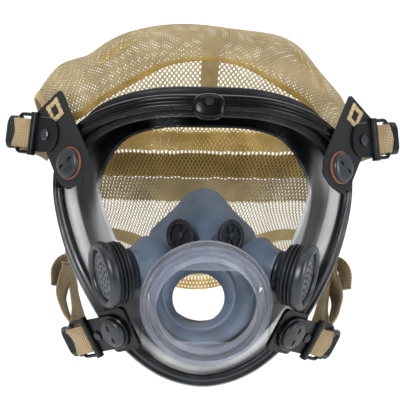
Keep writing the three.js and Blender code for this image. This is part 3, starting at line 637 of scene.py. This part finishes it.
def duct_path(side, start=0.3):
    """A bent line from the end of the housing's neck to the cup's side port."""
    a, b = [apply(facing_frame(VOICE, side), (0, 0, -VOICE["neck_end"] - h)) for h in (start, 9)]
    c = vec(side * 34, -52, -12)
    return [(1 - t) ** 2 * a + 2 * t * (1 - t) * b + t * t * c for t in np.linspace(0, 1, 14)]


def housing_cutter(side, extra):
    r = VOICE["barrel_r"] + extra
    profile = [(0.01, 4), (VOICE["rim_r"] + extra, 4), (VOICE["rim_r"] + extra, -5.3), (r, -5.3),
               (r, -14.6), (VOICE["neck_r"] + extra, -18), (VOICE["neck_r"] + extra, -20.5),
               (0.01, -20.5)]
    return Shape().lathe(facing_frame(VOICE, side), profile, 48).cutter()


def duct_cutter(side, extra):
    return Shape().tube(duct_path(side, start=-2), VOICE["duct_r"] + extra, 40).cutter()


def add_voicemitter(name, side):
    at = facing_frame(VOICE, side)
    rim_r, plate_r, barrel, neck = [VOICE[key] for key in ("rim_r", "plate_r", "barrel_r", "neck_r")]
    inner = plate_r + 0.4
    rim = fillet([(inner, -5), (inner, 1.2), (inner + 1.4, 2.8), (rim_r - 2.2, 3), (rim_r, 0.6),
                  (rim_r, -3.4), (rim_r - 1.2, -5)], 1.6, 5)
    skin(Shape().lathe(at, rim, 96), f"voicemitter_rim_{name}", "slatePlastic")
    ribs = []
    for low in (-7.0, -9.6, -12.2):
        ribs += [(barrel, low + 1.4), (barrel, low), (barrel - 2.2, low - 0.5), (barrel - 2.2, low - 0.9)]
    outside = [(barrel, -5.3)] + ribs + [(barrel - 1, -14.6), (neck, -18), (neck, -VOICE["neck_end"])]
    inside = [(neck - 2, -VOICE["neck_end"]), (neck - 2, -17), (barrel - 4.5, -13), (barrel - 4.5, -5.3)]
    housing = fillet(outside + inside, 0.7, 3)
    skin(Shape().lathe(at, housing, 80), f"voicemitter_housing_{name}", "darkRubber")
    add_grille(name, at, plate_r)
    duct = Shape().tube(duct_path(side), VOICE["duct_r"], 48)
    skin(duct, f"voicemitter_duct_{name}", "cupSilicone")


def add_grille(name, at, plate_r):
    """Speech plate: rings of round holes round a middle one."""
    hole_r, ring_gap = 1.35, 4.3
    plate = Shape().lathe(at, [(0.01, -1.2), (plate_r, -1.2), (plate_r, -0.3), (plate_r - 0.4, 0),
                               (0.01, 0)], 64, closed=False)
    holes = Shape()
    for ring, count in enumerate((1, 6, 12, 17)):
        for turn in full_turn(count):
            angle = turn + 0.3 * ring
            x, y = ring_gap * ring * math.cos(angle), ring_gap * ring * math.sin(angle)
            holes.slab(at, arc(x, y, hole_r, 0, 336, 15), -2, 1, 0.01)
    skin(plate, f"voicemitter_grille_{name}", "plateGrey", cut=[holes.cutter()])


# ---- facepiece


def add_brow_boss():
    """Domed oval cap over the middle of the upper bezel, with a sunk seat for its screw."""
    station = frame_stations([0])[0]
    at = frame_at(beside(station, -9.5, 4.5), vec(1, 0, 0), station[1])
    half_wide, half_tall, screw_up = 11, 9, 2.6
    cosine, sine = np.cos(full_turn(72)), np.sin(full_turn(72))
    oval = np.stack([half_wide * np.copysign(np.abs(cosine) ** 0.8, cosine),
                     half_tall * np.copysign(np.abs(sine) ** 0.8, sine)], axis=1)
    rows = []
    for share, height in ((1, 0), (1, 1.4), (0.97, 2.6), (0.9, 3.6), (0.78, 4.3), (0.6, 4.8),
                          (0.4, 5.1), (0.2, 5.2), (0.02, 5.2)):
        rows.append(apply(at, [(x, y, height) for x, y in share * oval]))
    sunk = [(0.01, 3.4), (3.4, 3.4), (3.9, 8), (0.01, 8)]
    seat = Shape().lathe(moved(at, dy=screw_up), sunk, 40, closed=False)
    skin(Shape().grid(rows, caps=True), "brow_boss", "bezelBlack", crease=50, cut=[seat.cutter()])


def add_lens():
    """Visor with a wall, from the collar's hole out to its seat in the frame channel."""
    radii = [PORT["hole_r"], 40, PORT["collar_r"], 45, 47.5, 50]
    rows = []
    for station in ROUND:
        seat = beside(station, LENS["seat"], 0)
        reach = math.hypot(seat[0], seat[2] - PORT["z"])
        towards = seat[0] / reach, (seat[2] - PORT["z"]) / reach
        steps = radii + [lerp(PORT["blend_r"], reach, f) for f in np.linspace(0, 0.92, 8)]
        faces = []
        for back in (0, LENS["thickness"]):
            line = []
            for r in steps:
                x, z = towards[0] * r, PORT["z"] + towards[1] * r
                line.append(vec(x, lens_y(x, z), z) - back * surface_normal(lens_y, x, z))
            faces.append(line + [beside(station, LENS[key], -back) for key in ("seat", "edge")])
        rows.append(faces[0] + faces[1][::-1])
    cutters = [make(side, 0.5) for _, side in SIDES for make in (housing_cutter, duct_cutter)]
    skin(Shape().grid(rows, close_rows=True), "lens", "clear", cut=cutters)


# Sections across the frame line, as (outward, forward).
BEZEL_SECTION = [
    (-10.5, 0.3), (-10.5, 2.4), (-8.8, 4.2), (-7.2, 4.2), (-6.2, 2.4), (-4.8, 2.4), (-3.6, 4.2),
    (-1.4, 4.0), (0, 2.2), (0, -6.2), (-1, -7.2), (-9, -7.2), (-9, -5.3), (-2.6, -5.3), (-2.6, 0.3),
]
# The lower bezel's outer wall flares back into a lip, painted pale grey as a highlight.
LOWER_SECTION = BEZEL_SECTION[:8] + [(0, 2.2), (2.6, -3), (2.6, -6.2)] + BEZEL_SECTION[10:]


def add_bezel(name, outline, first, last, slot):
    """Half of the channel frame, between two shares of the way round the frame line."""
    section = fillet(outline, 0.7, 3)
    stations = frame_stations(np.linspace(first, last, 110))
    rows = [[beside(s, out, front) for out, front in section] for s in stations]
    piece = skin(Shape().grid(rows, caps=True), name, slot, crease=50)
    # painted highlight: the outer lip turns pale grey, faint at the sides and full towards the chin
    lip = smooth(section[:, 0], -3.4, -2.2)
    paint(piece, "lip", [lip * lerp(0.3, 1, smooth(-s[0][2], 10, 55)) for s in stations])


# The seal's bead in the channel, then its skirt and turned-in lip at the brow, cheek and chin.
SEAL_BEAD = [(-3.2, -3.9), (-11.5, -3.9), (-11.5, -10)]
SEAL_BROW = [(2, -10), (8, -7), (9, -24), (3, -38), (-13, -28)]
SEAL_CHEEK = [(-3, -10), (3, -9), (12, -17), (6, -28), (-27, -18)]
SEAL_CHIN = [(-2, -10), (3, -9), (10, -24), (8, -42), (-2, -45)]


def add_face_seal():
    """Rubber skirt whose section changes from brow to cheek to chin, with painted light: the black rubber
    is painted pale grey from the cheeks down, palest at the chin.
    """
    rows = []
    for station in ROUND:
        z = station[0][2]
        brow, chin = smooth(z, 40, 84), smooth(-z, 30, 92)
        skirt = [lerp(lerp(vec(*c), vec(*b), brow), vec(*n), chin)
                 for c, b, n in zip(SEAL_CHEEK, SEAL_BROW, SEAL_CHIN)]
        line = fillet(np.vstack([SEAL_BEAD, skirt]), 6, 5, closed=False)
        ahead = np.gradient(line, axis=0)
        across = unit(np.stack([-ahead[:, 1], ahead[:, 0]], axis=1))
        section = np.vstack([line + across, (line - across)[::-1]])
        rows.append([beside(station, out, front) for out, front in section])
    piece = skin(Shape().grid(rows, close_rows=True), "face_seal", "sealRubber", crease=60)
    # painted light: pale grey laid over the black rubber below the brow, standing for the light on it seen
    # through the lens
    depth = np.array([-station[0][2] for station in ROUND])
    pale = 0.85 * smooth(depth, -54, -30) + 0.15 * smooth(depth, 10, 84)
    paint(piece, "painted_light", np.repeat(pale, len(section)))


def add_port_ring():
    """Stepped clear ring, with a flat across its bore at the top and the bottom."""
    bore_r, flat = 33.6, 26
    profile = [(33, 0), (43.5, 0), (43.5, 3.2), (42.8, 3.8), (42.1, 3), (41, 3), (41, 8.6), (40.3, 9.2),
               (39.6, 8.4), (38.5, 8.4), (38.5, 12.4), (37.8, 13), (37.1, 12.2), (35.6, 12.2), (34.9, 13),
               (34.2, 13), (33, 11.8)]
    ring = Shape().lathe(PORT_FRAME, fillet(profile, 0.3, 2), 144)
    reach = math.degrees(math.acos(flat / bore_r))
    for middle in (90, -90):
        ring.slab(PORT_FRAME, arc(0, 0, bore_r, middle - reach, middle + reach, 24), 5, 9, 0.4)
    skin(ring, "port_ring", "ringClear")


def add_port_lugs():
    """Clear rectangular loops moulded on the lens beside the ring, to key the regulator."""
    lugs = Shape()
    for side in (-1, 1):
        for middle, tall in ((8, 17), (-21, 14)):
            outline = rounded_box(side * 46.4, middle, 7, tall, 1)
            for height, r in ((-1.2, 0.6), (-3.2, 0.7)):
                lugs.tube(apply(PORT_FRAME, [(x, y, height) for x, y in outline]), r, 8, closed=True)
    settle(lugs.build("port_lugs", LOOK["clear"]), ROOT, "clear")


CUP_TURN = full_turn(96)


def pear_ring(half, top, bottom, y, lean):
    """A ring of the cup that is drawn in at the top, for the nose."""
    rise = np.sin(CUP_TURN)
    pinch = 1 - 0.3 * smooth(rise, 0.35, 0.8)
    z = (top + bottom) / 2 + rise * (top - bottom) / 2
    return np.stack([half * np.cos(CUP_TURN) * pinch, y + lean * rise, z], axis=1)


def circle_ring(radius, y, z):
    """A round ring of the cup, at its throat."""
    columns = [CUP_SET + radius * np.cos(CUP_TURN), 0 * CUP_TURN + y, z + radius * np.sin(CUP_TURN)]
    return np.stack(columns, axis=1)


def add_nose_cup():
    """Silicone cup in rings from the throat out to the lip and back inside, and its valve seats."""
    wall, throat_r, throat_z, lip_r, lip_z = CUP.values()
    outside = [
        circle_ring(throat_r, -72, throat_z), circle_ring(lip_r - 1.5, -80, lip_z),
        circle_ring(lip_r, -80.5, lip_z), circle_ring(lip_r + 1.5, -73, lip_z),
        pear_ring(36, 3, -71, -67, 3), pear_ring(39, 17, -76, -47, 4), pear_ring(40, 27, -76, -24, 2),
    ]
    lip = [pear_ring(33, 17, -70, -21, 2)]
    inside = [
        pear_ring(39 - wall, 17 - wall, -76 + wall, -45, 4),
        pear_ring(36 - wall, 3 - wall, -71 + wall, -64.5, 3), circle_ring(throat_r + 2, -69.5, throat_z),
    ]
    face = [catmull(outside[3:], t) for t in np.linspace(0, 1, 26)]
    rows = outside[:3] + face + lip + [catmull(inside, t) for t in np.linspace(0, 1, 14)]
    bore_r, step_r = VALVE["r"] + 0.3, VALVE["r"] + 2.1
    bore = [(0.01, -8), (bore_r, -8), (bore_r, 1.3), (step_r, 1.3), (step_r, 12), (0.01, 12)]
    cutters = []
    for _, side in SIDES:
        cutters.append(Shape().lathe(facing_frame(VALVE, side), bore, 48).cutter())
        cutters.append(duct_cutter(side, 0.2))
    skin(Shape().grid(rows, close_rows=True), "nose_cup", "cupSilicone", cut=cutters)
    for name, side in SIDES:
        add_valve_seat(name, facing_frame(VALVE, side))


def add_valve_seat(name, at):
    """Flanged ring with six spokes and a hub."""
    r = VALVE["r"]
    seat = Shape().lathe(at, fillet([(r - 1.4, -1.5), (r, -1.5), (r, 1.6), (r + 1.8, 1.6),
                                     (r + 1.8, 3), (r - 1.4, 3)], 0.4, 2), 64)
    seat.lathe(at, [(0.01, 1.6), (2.6, 1.6), (2.6, 3), (2, 3.4), (0.01, 3.4)], 24, closed=False)
    for i in range(6):
        spoke = fillet([(1, -0.6), (r - 1, -0.6), (r - 1, 0.6), (1, 0.6)], 0.2, 1)
        seat.slab(moved(at, turn=60 * i + 15), spoke, 1.6, 2.8, 0.2)
    skin(seat, f"inhalation_valve_seat_{name}", "darkRubber")


# ---- harness

# Each strap's buckle, how deep its tape is creased, and its route from the buckle to the net.
HARNESS = dict(
    upper=dict(bar_x=10, outer=26.5, crease=1.0,
               route=[(126, 10, 55), (121, 24, 50), (115, 38, 44), (110.5, 50, 38)],
               across=[(-0.1, -0.1, 1), (0, -0.2, 1), (0, -0.4, 1), (0, -0.4, 1)]),
    lower=dict(bar_x=22, outer=39, crease=1.5,
               route=[(84.5, -36, -64), (87, -25, -57), (90, -13, -50), (92, 0, -44),
                      (95, 20, -36), (96, 38, -30), (92.5, 57, -24)],
               across=[(0.5, -0.5, 0.7), (0.35, -0.65, 0.65), (0.3, -0.65, 0.65), (0.3, -0.6, 0.7),
                       (0.3, -0.3, 0.9), (0, 0, 1), (0, 0, 1)]),
)
TAIL_ROUTE = [(92, -38, -65), (95.5, -34, -58), (97.5, -29, -51), (96, -22, -43.5), (94, -15, -36),
              (96, -11, -33), (99.5, -14, -32.5), (102.5, -18, -37), (102.5, -22, -46)]
TAIL_ACROSS = (0.35, -0.65, 0.65)


def arc(x, y, r, start, end, steps=12):
    return [(x + r * math.cos(a), y + r * math.sin(a))
            for a in np.radians(np.linspace(start, end, steps))]


def rounded_box(x, y, width, height, r):
    w, h = width / 2 - r, height / 2 - r
    return (arc(x + w, y + h, r, 0, 90, 5) + arc(x - w, y + h, r, 90, 180, 5)
            + arc(x - w, y - h, r, 180, 270, 5) + arc(x + w, y - h, r, 270, 360, 5))


def add_button(name, base):
    """Domed stud head with two slots for a tool."""
    dome = [(0.01, 0), (BUTTON_R, 0), (BUTTON_R, 1.4), (BUTTON_R - 0.5, 2.2), (BUTTON_R - 1.4, 2.7),
            (BUTTON_R - 4, 3.2), (0.01, 3.4)]
    slots = [Shape().slab(base, rounded_box(0, y, 1.9, 4.4, 0.9), 1.9, 6, 0.05).cutter()
             for y in (-4.6, 4.6)]
    skin(Shape().lathe(base, dome, 64), name, "slatePlastic", cut=slots)


def add_tab(name, side):
    """Webbing tab from the upper button up to the net, with cut corners."""
    at = fitting_frame(UPPER_BUTTON, side)
    half, top, low = 16.5, -51, 16
    outline = fillet([(top, -half), (4, -half), (low - 2, -half * 0.72), (low, 0),
                      (low - 2, half * 0.72), (4, half), (top, half)], 3.0, 4)
    thick = 2.4
    skin(Shape().slab(at, outline, 0, thick, 0.5), f"upper_tab_{name}", "blackWebbing")
    add_box_stitch(name, moved(at, dx=-40.5, dy=-side * 5.5, dz=thick))


def add_box_stitch(name, at):
    """A square ring of heavy tan thread, in close uneven stitches, sewn through the tab."""
    stitches = Shape()
    half_long, half_wide, band = 5.4, 4.5, 3.2
    for turn in (0, 90, 180, 270):
        reach, run = (half_long, half_wide) if turn % 180 else (half_wide, half_long)
        edge = moved(at, turn=turn)
        for k, x in enumerate(np.arange(-run - 1.5, run + 1.6, 0.62)):
            near, far = reach - band / 2 - 0.2 * (k % 3), reach + band / 2 + 0.35 * (k % 2)
            line = [(x + 0.25 * math.sin(k), lerp(near, far, t), 0.15 + 0.5 * math.sin(math.pi * t))
                    for t in np.linspace(0, 1, 6)]
            stitches.tube(apply(edge, line), [0.14, 0.34, 0.38, 0.38, 0.34, 0.14], 6)
    settle(stitches.build(f"box_stitch_{name}", LOOK["stitchThread"]), ROOT, "tanWebbing")


def add_buckle(prefix, name, at):
    """Plate with a round end and an inner bar, and the wire bail that stands off the bar."""
    body = f"{prefix}_buckle_{name}"
    bar_x, outer = [HARNESS[prefix][key] for key in ("bar_x", "outer")]
    r, thick, bar, half = BUCKLE["plate_r"], BUCKLE["thick"], BUCKLE["bar"], BUCKLE["wire_half"]
    plate = Shape()
    plate.slab(at, arc(0, 0, r, 90, 270, 24) + [(bar_x, -r), (bar_x, r)], 0, thick, 0.5)
    length = half + 1.8
    section = np.array(rounded_box(bar_x + bar / 2 - 0.8, bar / 2 + 0.2, bar, bar, 1.8))
    rows = [[(x, y, z) for x, z in section] for y in (-length, length)]
    plate.grid([apply(at, row) for row in rows], caps=True)
    skin(plate, body, "blackMetal", body)
    root = bar_x + bar - 0.8
    bail = fillet([(root, -half), (outer, -half), (outer, half), (root, half)], 4.5, 8, closed=False)
    wire = Shape().tube(apply(at, [(x, y, BUCKLE["wire_z"]) for x, y in bail]), BUCKLE["wire_r"], 14)
    skin(wire, f"{prefix}_wire_{name}", "blackMetal", body)
    add_release(f"{prefix}_release_{name}", at, outer)


def add_release(body, at, outer):
    """Grip beyond the outer bar of the wire, with three ridges and two knuckles."""
    z = BUCKLE["wire_z"]
    tab = Shape()
    grip = fillet([(outer + 3.4, -11.6), (outer + 9.5, -11.6), (outer + 11.9, -7), (outer + 11.9, 7),
                   (outer + 9.5, 11.6), (outer + 3.4, 11.6)], 2.4, 4)
    tab.slab(at, grip, z - 1.3, z + 1.3, 0.6)
    for x in (5.6, 7.6, 9.6):
        tab.slab(at, rounded_box(outer + x, 0, 0.9, 17, 0.4), z + 1.2, z + 2.0, 0.3)
    for s in (-1, 1):
        eye = arc(outer, 0, 3.0, 20, 340, 16)
        rows = [[(x, s * y, z + h) for x, h in eye] for y in (10.35, 11.55)]
        tab.grid([apply(at, row) for row in rows], caps=True)
    skin(tab, body, "slatePlastic", body)


def ribbon(points, across, crease, width=WEB_WIDTH):
    """Woven tape along a curve, with thin edges and a lengthwise crease that fades at its ends."""
    w = np.linspace(-width / 2, width / 2, 13)
    h = np.full(13, WEB_THICK / 2)
    h[[0, -1]] /= 2
    w, h = np.concatenate([w, w[::-1]]), np.concatenate([-h, h])
    rows = []
    shares = np.linspace(0, 1, 70)
    line = np.array([catmull(points, t) for t in shares])
    for t, p, tangent in zip(shares, line, unit(np.gradient(line, axis=0))):
        wide = catmull(across, t)
        wide = unit(wide - tangent * np.dot(wide, tangent))
        normal = np.cross(tangent, wide)
        lift = h + crease * math.sin(math.pi * t) ** 2 * np.cos(2 * math.pi * w / width)
        rows.append([p + a * wide + b * normal for a, b in zip(w, lift)])
    uvs = [[(a, run) for a in w] for run in travelled(line)]
    return Shape().grid(rows, caps=True, uvs=uvs)


def hang(tape, name, buckle, start, end, *nodes):
    """Webbing built in place, with the CAD nodes it stands for hidden; the buckle, start and end are not
    used.
    """
    piece = tape.build(name, LOOK["tanWebbing"], crease=60)
    if nodes:
        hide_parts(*nodes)
    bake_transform(piece)


def add_strap(prefix, name, side, at):
    """One length of webbing: in at the buckle, round the wire's outer bar and back to the net."""
    bar_x, outer, crease, route, across = HARNESS[prefix].values()
    z, r = BUCKLE["wire_z"], BUCKLE["wire_r"] + 0.3 + WEB_THICK / 2
    loop = [(bar_x + 3.9, 0, z + 0.4), (bar_x + 6.5, 0, z + r - 0.4), (lerp(bar_x, outer, 0.75), 0, z + r)]
    loop += [(outer + x, 0, z + h) for x, h in arc(0, 0, r, 90, -60, 7)]
    start = apply(at, loop)
    points = np.vstack([start, [mirrored(p, side) for p in route]])
    wide = at[:3, 1] * side
    ways = np.vstack([[wide] * len(start), [mirrored(a, side) for a in across]])
    strap = f"{prefix}_strap_{name}"
    hang(ribbon(points, ways, crease), f"{strap}_skin", f"{prefix}_buckle_{name}",
         start[-1], mirrored(route[-1], side), strap, f"{prefix}_strap_loop_{name}")


def add_tail(name, side, at):
    """Free end of the lower strap, doubled over on itself, hanging from the buckle."""
    outer = HARNESS["lower"]["outer"]
    start = apply(at, [(outer - 7, 0, -1.5), (outer - 1, 1, -2.5)])
    points = np.vstack([start, [mirrored(p, side) for p in TAIL_ROUTE]])
    wide = at[:3, 1] * side
    ways = np.vstack([[wide] * 2, [mirrored(TAIL_ACROSS, side)] * len(TAIL_ROUTE)])
    hang(ribbon(points, ways, HARNESS["lower"]["crease"], TAIL_WIDTH), f"lower_tail_{name}",
         f"lower_buckle_{name}", start[-1], mirrored(TAIL_ROUTE[3], side))


# ---- head net

NET_PITCH, NET_ROW = 3.15, 1.75          # spacing of the holes across and along
NET_HOLE = (0.19, 0.5, 0.23)             # half width, half height and shoulder, in cells
CROWN_HOLE = 0.8                         # the slack crown's holes, closed up to this share
NET_LAYER = 1.1                          # from one layer of a fold to the next
HEM = 6.0
# Level lines round the back of the net, as z + y / 4: two tucks and the strap between them.
UPPER_TUCK = dict(level=62, depth=10)
LOWER_TUCK = dict(level=22, depth=12)
BACK_STRAP = (51, 32)
# Pockets in the slack crown: u, v, length, width, depth in mm and slope.
PLEATS = [(0.255, 0.175, 0.06, 0.028, 9, 0.3), (0.775, 0.16, 0.045, 0.02, 6, -0.9),
          (0.86, 0.13, 0.04, 0.018, 5, -0.9)]


def bilinear(table, u, v):
    """Values between the rows and columns of a table, at u and v from 0 to 1."""
    n, m = table.shape[:2]
    x, y = np.clip(u, 0, 1) * (m - 1), np.clip(v, 0, 1) * (n - 1)
    i, j = np.minimum(x.astype(int), m - 2), np.minimum(y.astype(int), n - 2)
    fx, fy = (x - i)[..., None], (y - j)[..., None]
    low = lerp(table[j, i], table[j, i + 1], fx)
    high = lerp(table[j + 1, i], table[j + 1, i + 1], fx)
    return lerp(low, high, fy)


class NetSurface:
    """The net's middle surface: u from left to right, v from the brow hem to the nape hem."""

    COLUMNS, ROWS = 121, 241

    def __init__(self):
        hoops = []
        for half in NET_HOOPS:
            hoop = [mirrored(p, -1) for p in half] + [vec(*p) for p in half[-2::-1]]
            fine = np.array([catmull(hoop, t) for t in np.linspace(0, 1, 900)])
            hoops.append(spaced(fine, np.linspace(0, 1, self.COLUMNS)))
        self.grid = np.array([catmull(hoops, t) for t in np.linspace(0, 1, self.ROWS)])
        across, along = np.gradient(self.grid, axis=1), np.gradient(self.grid, axis=0)
        self.normals = unit(np.cross(across, along))
        self.width, self.length = [
            np.mean(np.linalg.norm(np.diff(self.grid, axis=k), axis=2).sum(axis=k)) for k in (1, 0)]
        levels = (UPPER_TUCK["level"], BACK_STRAP[0], BACK_STRAP[1], LOWER_TUCK["level"])
        start = [np.full(self.COLUMNS, v) for v in (0, 0.25)]
        self.lines = start + [self.level_line(level) for level in levels] + [np.ones(self.COLUMNS)]
        self.knots = [line[self.COLUMNS // 2] for line in self.lines]

    def level_line(self, level):
        """For each column, the v where it comes down to the level behind the crown."""
        height = self.grid[..., 2] + self.grid[..., 1] / 4
        below = height < level
        below[:self.ROWS // 3] = False
        return np.argmax(below, axis=0) / (self.ROWS - 1)

    def follow(self, u, v):
        """Shift v so that a line of constant v at the back follows the level lines."""
        out = np.array(v, float)
        steps = zip(self.knots, self.knots[1:], self.lines, self.lines[1:])
        columns = np.linspace(0, 1, self.COLUMNS)
        for low, high, start, end in steps:
            here = (v >= low) & (v <= high)
            share = (v - low) / (high - low)
            place = lerp(np.interp(u, columns, start), np.interp(u, columns, end), share)
            out = np.where(here, place, out)
        return out

    def at(self, u, v, lift):
        """Points of the slack cloth, `lift` mm outside the middle surface."""
        v = self.follow(u, v)
        out = lift + ripples(u, v) - pleat_depth(u, v)
        where = bilinear(self.grid, u, v) + bilinear(self.normals, u, v) * out[..., None]
        x, y, z = where[..., 0], where[..., 1], where[..., 2]
        front = 1 - smooth(y, 30, 75)
        right = smooth(x, 66, 114) * smooth(z, 40, 78) * front
        left = smooth(-x, 80, 104) * smooth(z, 62, 84) * front
        return where + np.stack([-12 * right - 2 * left, 0 * x, 5 * left - 5 * right], axis=-1)


def ripples(u, v):
    """Soft folds of the slack cloth, in mm along the normal."""
    wave = 1.3 * np.sin(9 * u + 5 * v) * np.sin(7 * v + 2) + 0.8 * np.sin(23 * u - 9 * v)
    return wave * smooth(np.minimum(np.minimum(u, 1 - u), np.minimum(v, 1 - v)), 0, 0.07)


def pleat_depth(u, v):
    """How far the pockets sink the cloth, in mm."""
    depth = np.zeros_like(u)
    for middle_u, middle_v, long, wide, deep, slope in PLEATS:
        a = (u - middle_u) / long
        b = (v - middle_v - slope * (u - middle_u)) / wide
        depth += deep * np.exp(-(a**2) - np.abs(b) ** 3)
    return depth


def cloth_path(net):
    """The cloth's run from brow to nape as (v, lift), folded at both hems and at each tuck."""
    hem = HEM / net.length
    run = [(0, -2 * NET_LAYER), (hem, -2 * NET_LAYER), (hem, -NET_LAYER), (0, -NET_LAYER), (0, 0)]
    for tuck, knot in ((UPPER_TUCK, net.knots[2]), (LOWER_TUCK, net.knots[5])):
        near, far = knot - tuck["depth"] / 2 / net.length, knot + tuck["depth"] / 2 / net.length
        run += [(far, 0), (far, NET_LAYER), (near, NET_LAYER), (near, 2 * NET_LAYER),
                (far, 2 * NET_LAYER), (far + 0.02, 0)]
    return np.array(run + [(1, 0), (1, NET_LAYER), (1 - hem, NET_LAYER)], float)


def add_mesh_cloth(net):
    """Knitted mesh: staggered six-sided cells, each with a rounded diamond hole."""
    path = cloth_path(net)
    run = travelled(path * (net.length, 1))
    columns, lines = int(net.width / NET_PITCH), int(run[-1] / NET_ROW)
    cell = [(0, -2 / 3), (0.5, -1 / 3), (0.5, 1 / 3), (0, 2 / 3), (-0.5, 1 / 3), (-0.5, -1 / 3)]
    half, tall, shoulder = NET_HOLE
    hole = [(0, -tall), (half, -shoulder), (half, shoulder), (0, tall), (-half, shoulder),
            (-half, -shoulder)]
    points, faces, shared = [], [], {}
    for j in range(1, lines):
        v = np.interp(j / lines * run[-1], run, path[:, 0])
        open_share = lerp(CROWN_HOLE, 1, smooth(v, 0.42, 0.5)) + 0.15 * smooth(v, 0.7, 0.75)
        for i in range(1, columns):
            x, y = i + 0.5 * (j % 2), j
            outer = []
            for dx, dy in cell:
                key = round(2 * (x + dx)), round(3 * (y + dy))
                if key not in shared:
                    shared[key] = len(points)
                    points.append((x + dx, y + dy))
                outer.append(shared[key])
            first = len(points)
            points.extend((x + open_share * dx, y + open_share * dy) for dx, dy in hole)
            faces += [(outer[k], outer[k - 5], first + (k + 1) % 6, first + k) for k in range(6)]
    lattice = np.array(points)
    along = lattice[:, 1] / lines * run[-1]
    u, v = lattice[:, 0] / (columns + 0.5), np.interp(along, run, path[:, 0])
    lift = np.interp(along, run, path[:, 1])
    piece = skin(Shape().extend(net.at(u, v, lift), faces), "head_net", "netBeige", crease=180)
    # gold: painted shade inside the pleat pockets, deeper where the cloth sinks, and a deeper gold along
    # the hems and tucks where the cloth lies doubled
    gold = smooth(pleat_depth(u, net.follow(u, v)), 2, 5)
    hem = HEM / net.length
    for start, end in ((-1, hem), (net.knots[2] - 0.03, net.knots[4]), (1 - hem, 2)):
        gold = np.maximum(gold, ((v > start) & (v < end)) * 0.9)
    paint(piece, "gold", gold)
    return piece, run[-1]


def add_band(net, name, us, vs, lift, look, slot, *nodes, level=False):
    """A tape over a range of u and v of the net, woven along v or, if level, along u."""
    across, half = 8, 9
    along, over = np.linspace(0, 1, 100)[:, None], np.linspace(0, 1, across)[None]
    u, v = lerp(*us, along if level else over), lerp(*vs, over if level else along)
    u, v = np.broadcast_arrays(u, v)
    faces = [net.at(u, v, np.full(u.shape, out)) for out in (lift, lift + TAPE_THICK)]
    rows = np.concatenate([faces[0], faces[1][:, ::-1]], axis=1)
    run = travelled(faces[0][:, 0])[:, None]
    spread = np.concatenate([np.linspace(-1, 1, across), np.linspace(1, -1, across)])[None] * half
    uvs = np.stack(np.broadcast_arrays(spread, run), axis=2)
    piece = Shape().grid(rows, caps=True, uvs=uvs).build(name, LOOK[look], crease=60)
    return settle(piece, ROOT, slot, *nodes)


def add_head_net():
    net = NetSurface()
    cloth, run = add_mesh_cloth(net)
    trims = [
        add_band(net, "net_edge_left", (0, 0.018), (0, 1), -0.5, "netEdge", "netBeige"),
        add_band(net, "net_edge_right", (0.982, 1), (0, 1), -0.5, "netEdge", "netBeige"),
        # the back strap is tan webbing, drawn in the painted-shade copy
        add_band(net, "back_strap", (0.03, 0.97), net.knots[3:5], 2.8, "shadedTanWebbing", "tanWebbing",
                 level=True),
        add_band(net, "nape_band_skin", (0.03, 0.97), (0.935, 0.975), -4.0, "netEdge", "netBeige",
                 "nape_band", level=True),
        add_band(net, "crown_tape_skin", (0.505, 0.545), (0.44, 0.66), -3.0, "netEdge", "netBeige",
                 "crown_tape"),
    ]


# ---- CAD nodes that keep their shape


def dress_cad():
    """Give every CAD node the procedural material of its slot."""
    for part in frame["record"]["subparts"]:
        node = frame["nodes"][part["node"]]
        look = LOOK[part["material_slot"]]
        for slot in node.material_slots:
            slot.material = look


# ---- assembly

dress_cad()
add_lens()
upper_end, lower_end = UPPER_BEZEL_SHARE, UPPER_BEZEL_SHARE + BEZEL_JOINT
add_bezel("upper_bezel", BEZEL_SECTION, -upper_end, upper_end, "bezelBlack")
add_bezel("lower_bezel", LOWER_SECTION, lower_end, 1 - lower_end, "bezelSlate")
add_brow_boss()
add_face_seal()
add_port_ring()
add_port_lugs()
add_nose_cup()
for name, side in SIDES:
    add_voicemitter(name, side)
    upper, lower = fitting_frame(UPPER_BUTTON, side), fitting_frame(LOWER_BUTTON, side)
    add_tab(name, side)
    add_button(f"upper_button_{name}", moved(upper, dz=UPPER_BUTTON["lift"]))
    add_button(f"lower_button_{name}", moved(lower, dz=LOWER_BUTTON["lift"]))
    up, out, lift, turn = UPPER_PIVOT.values()
    pivot = moved(moved(upper, -up, side * out, lift), turn=side * turn)
    ends = (("upper", pivot), ("lower", lower))
    for prefix, at in ends:
        add_buckle(prefix, name, at)
    for prefix, at in ends:
        add_strap(prefix, name, side, at)
    add_tail(name, side, lower)
add_head_net()
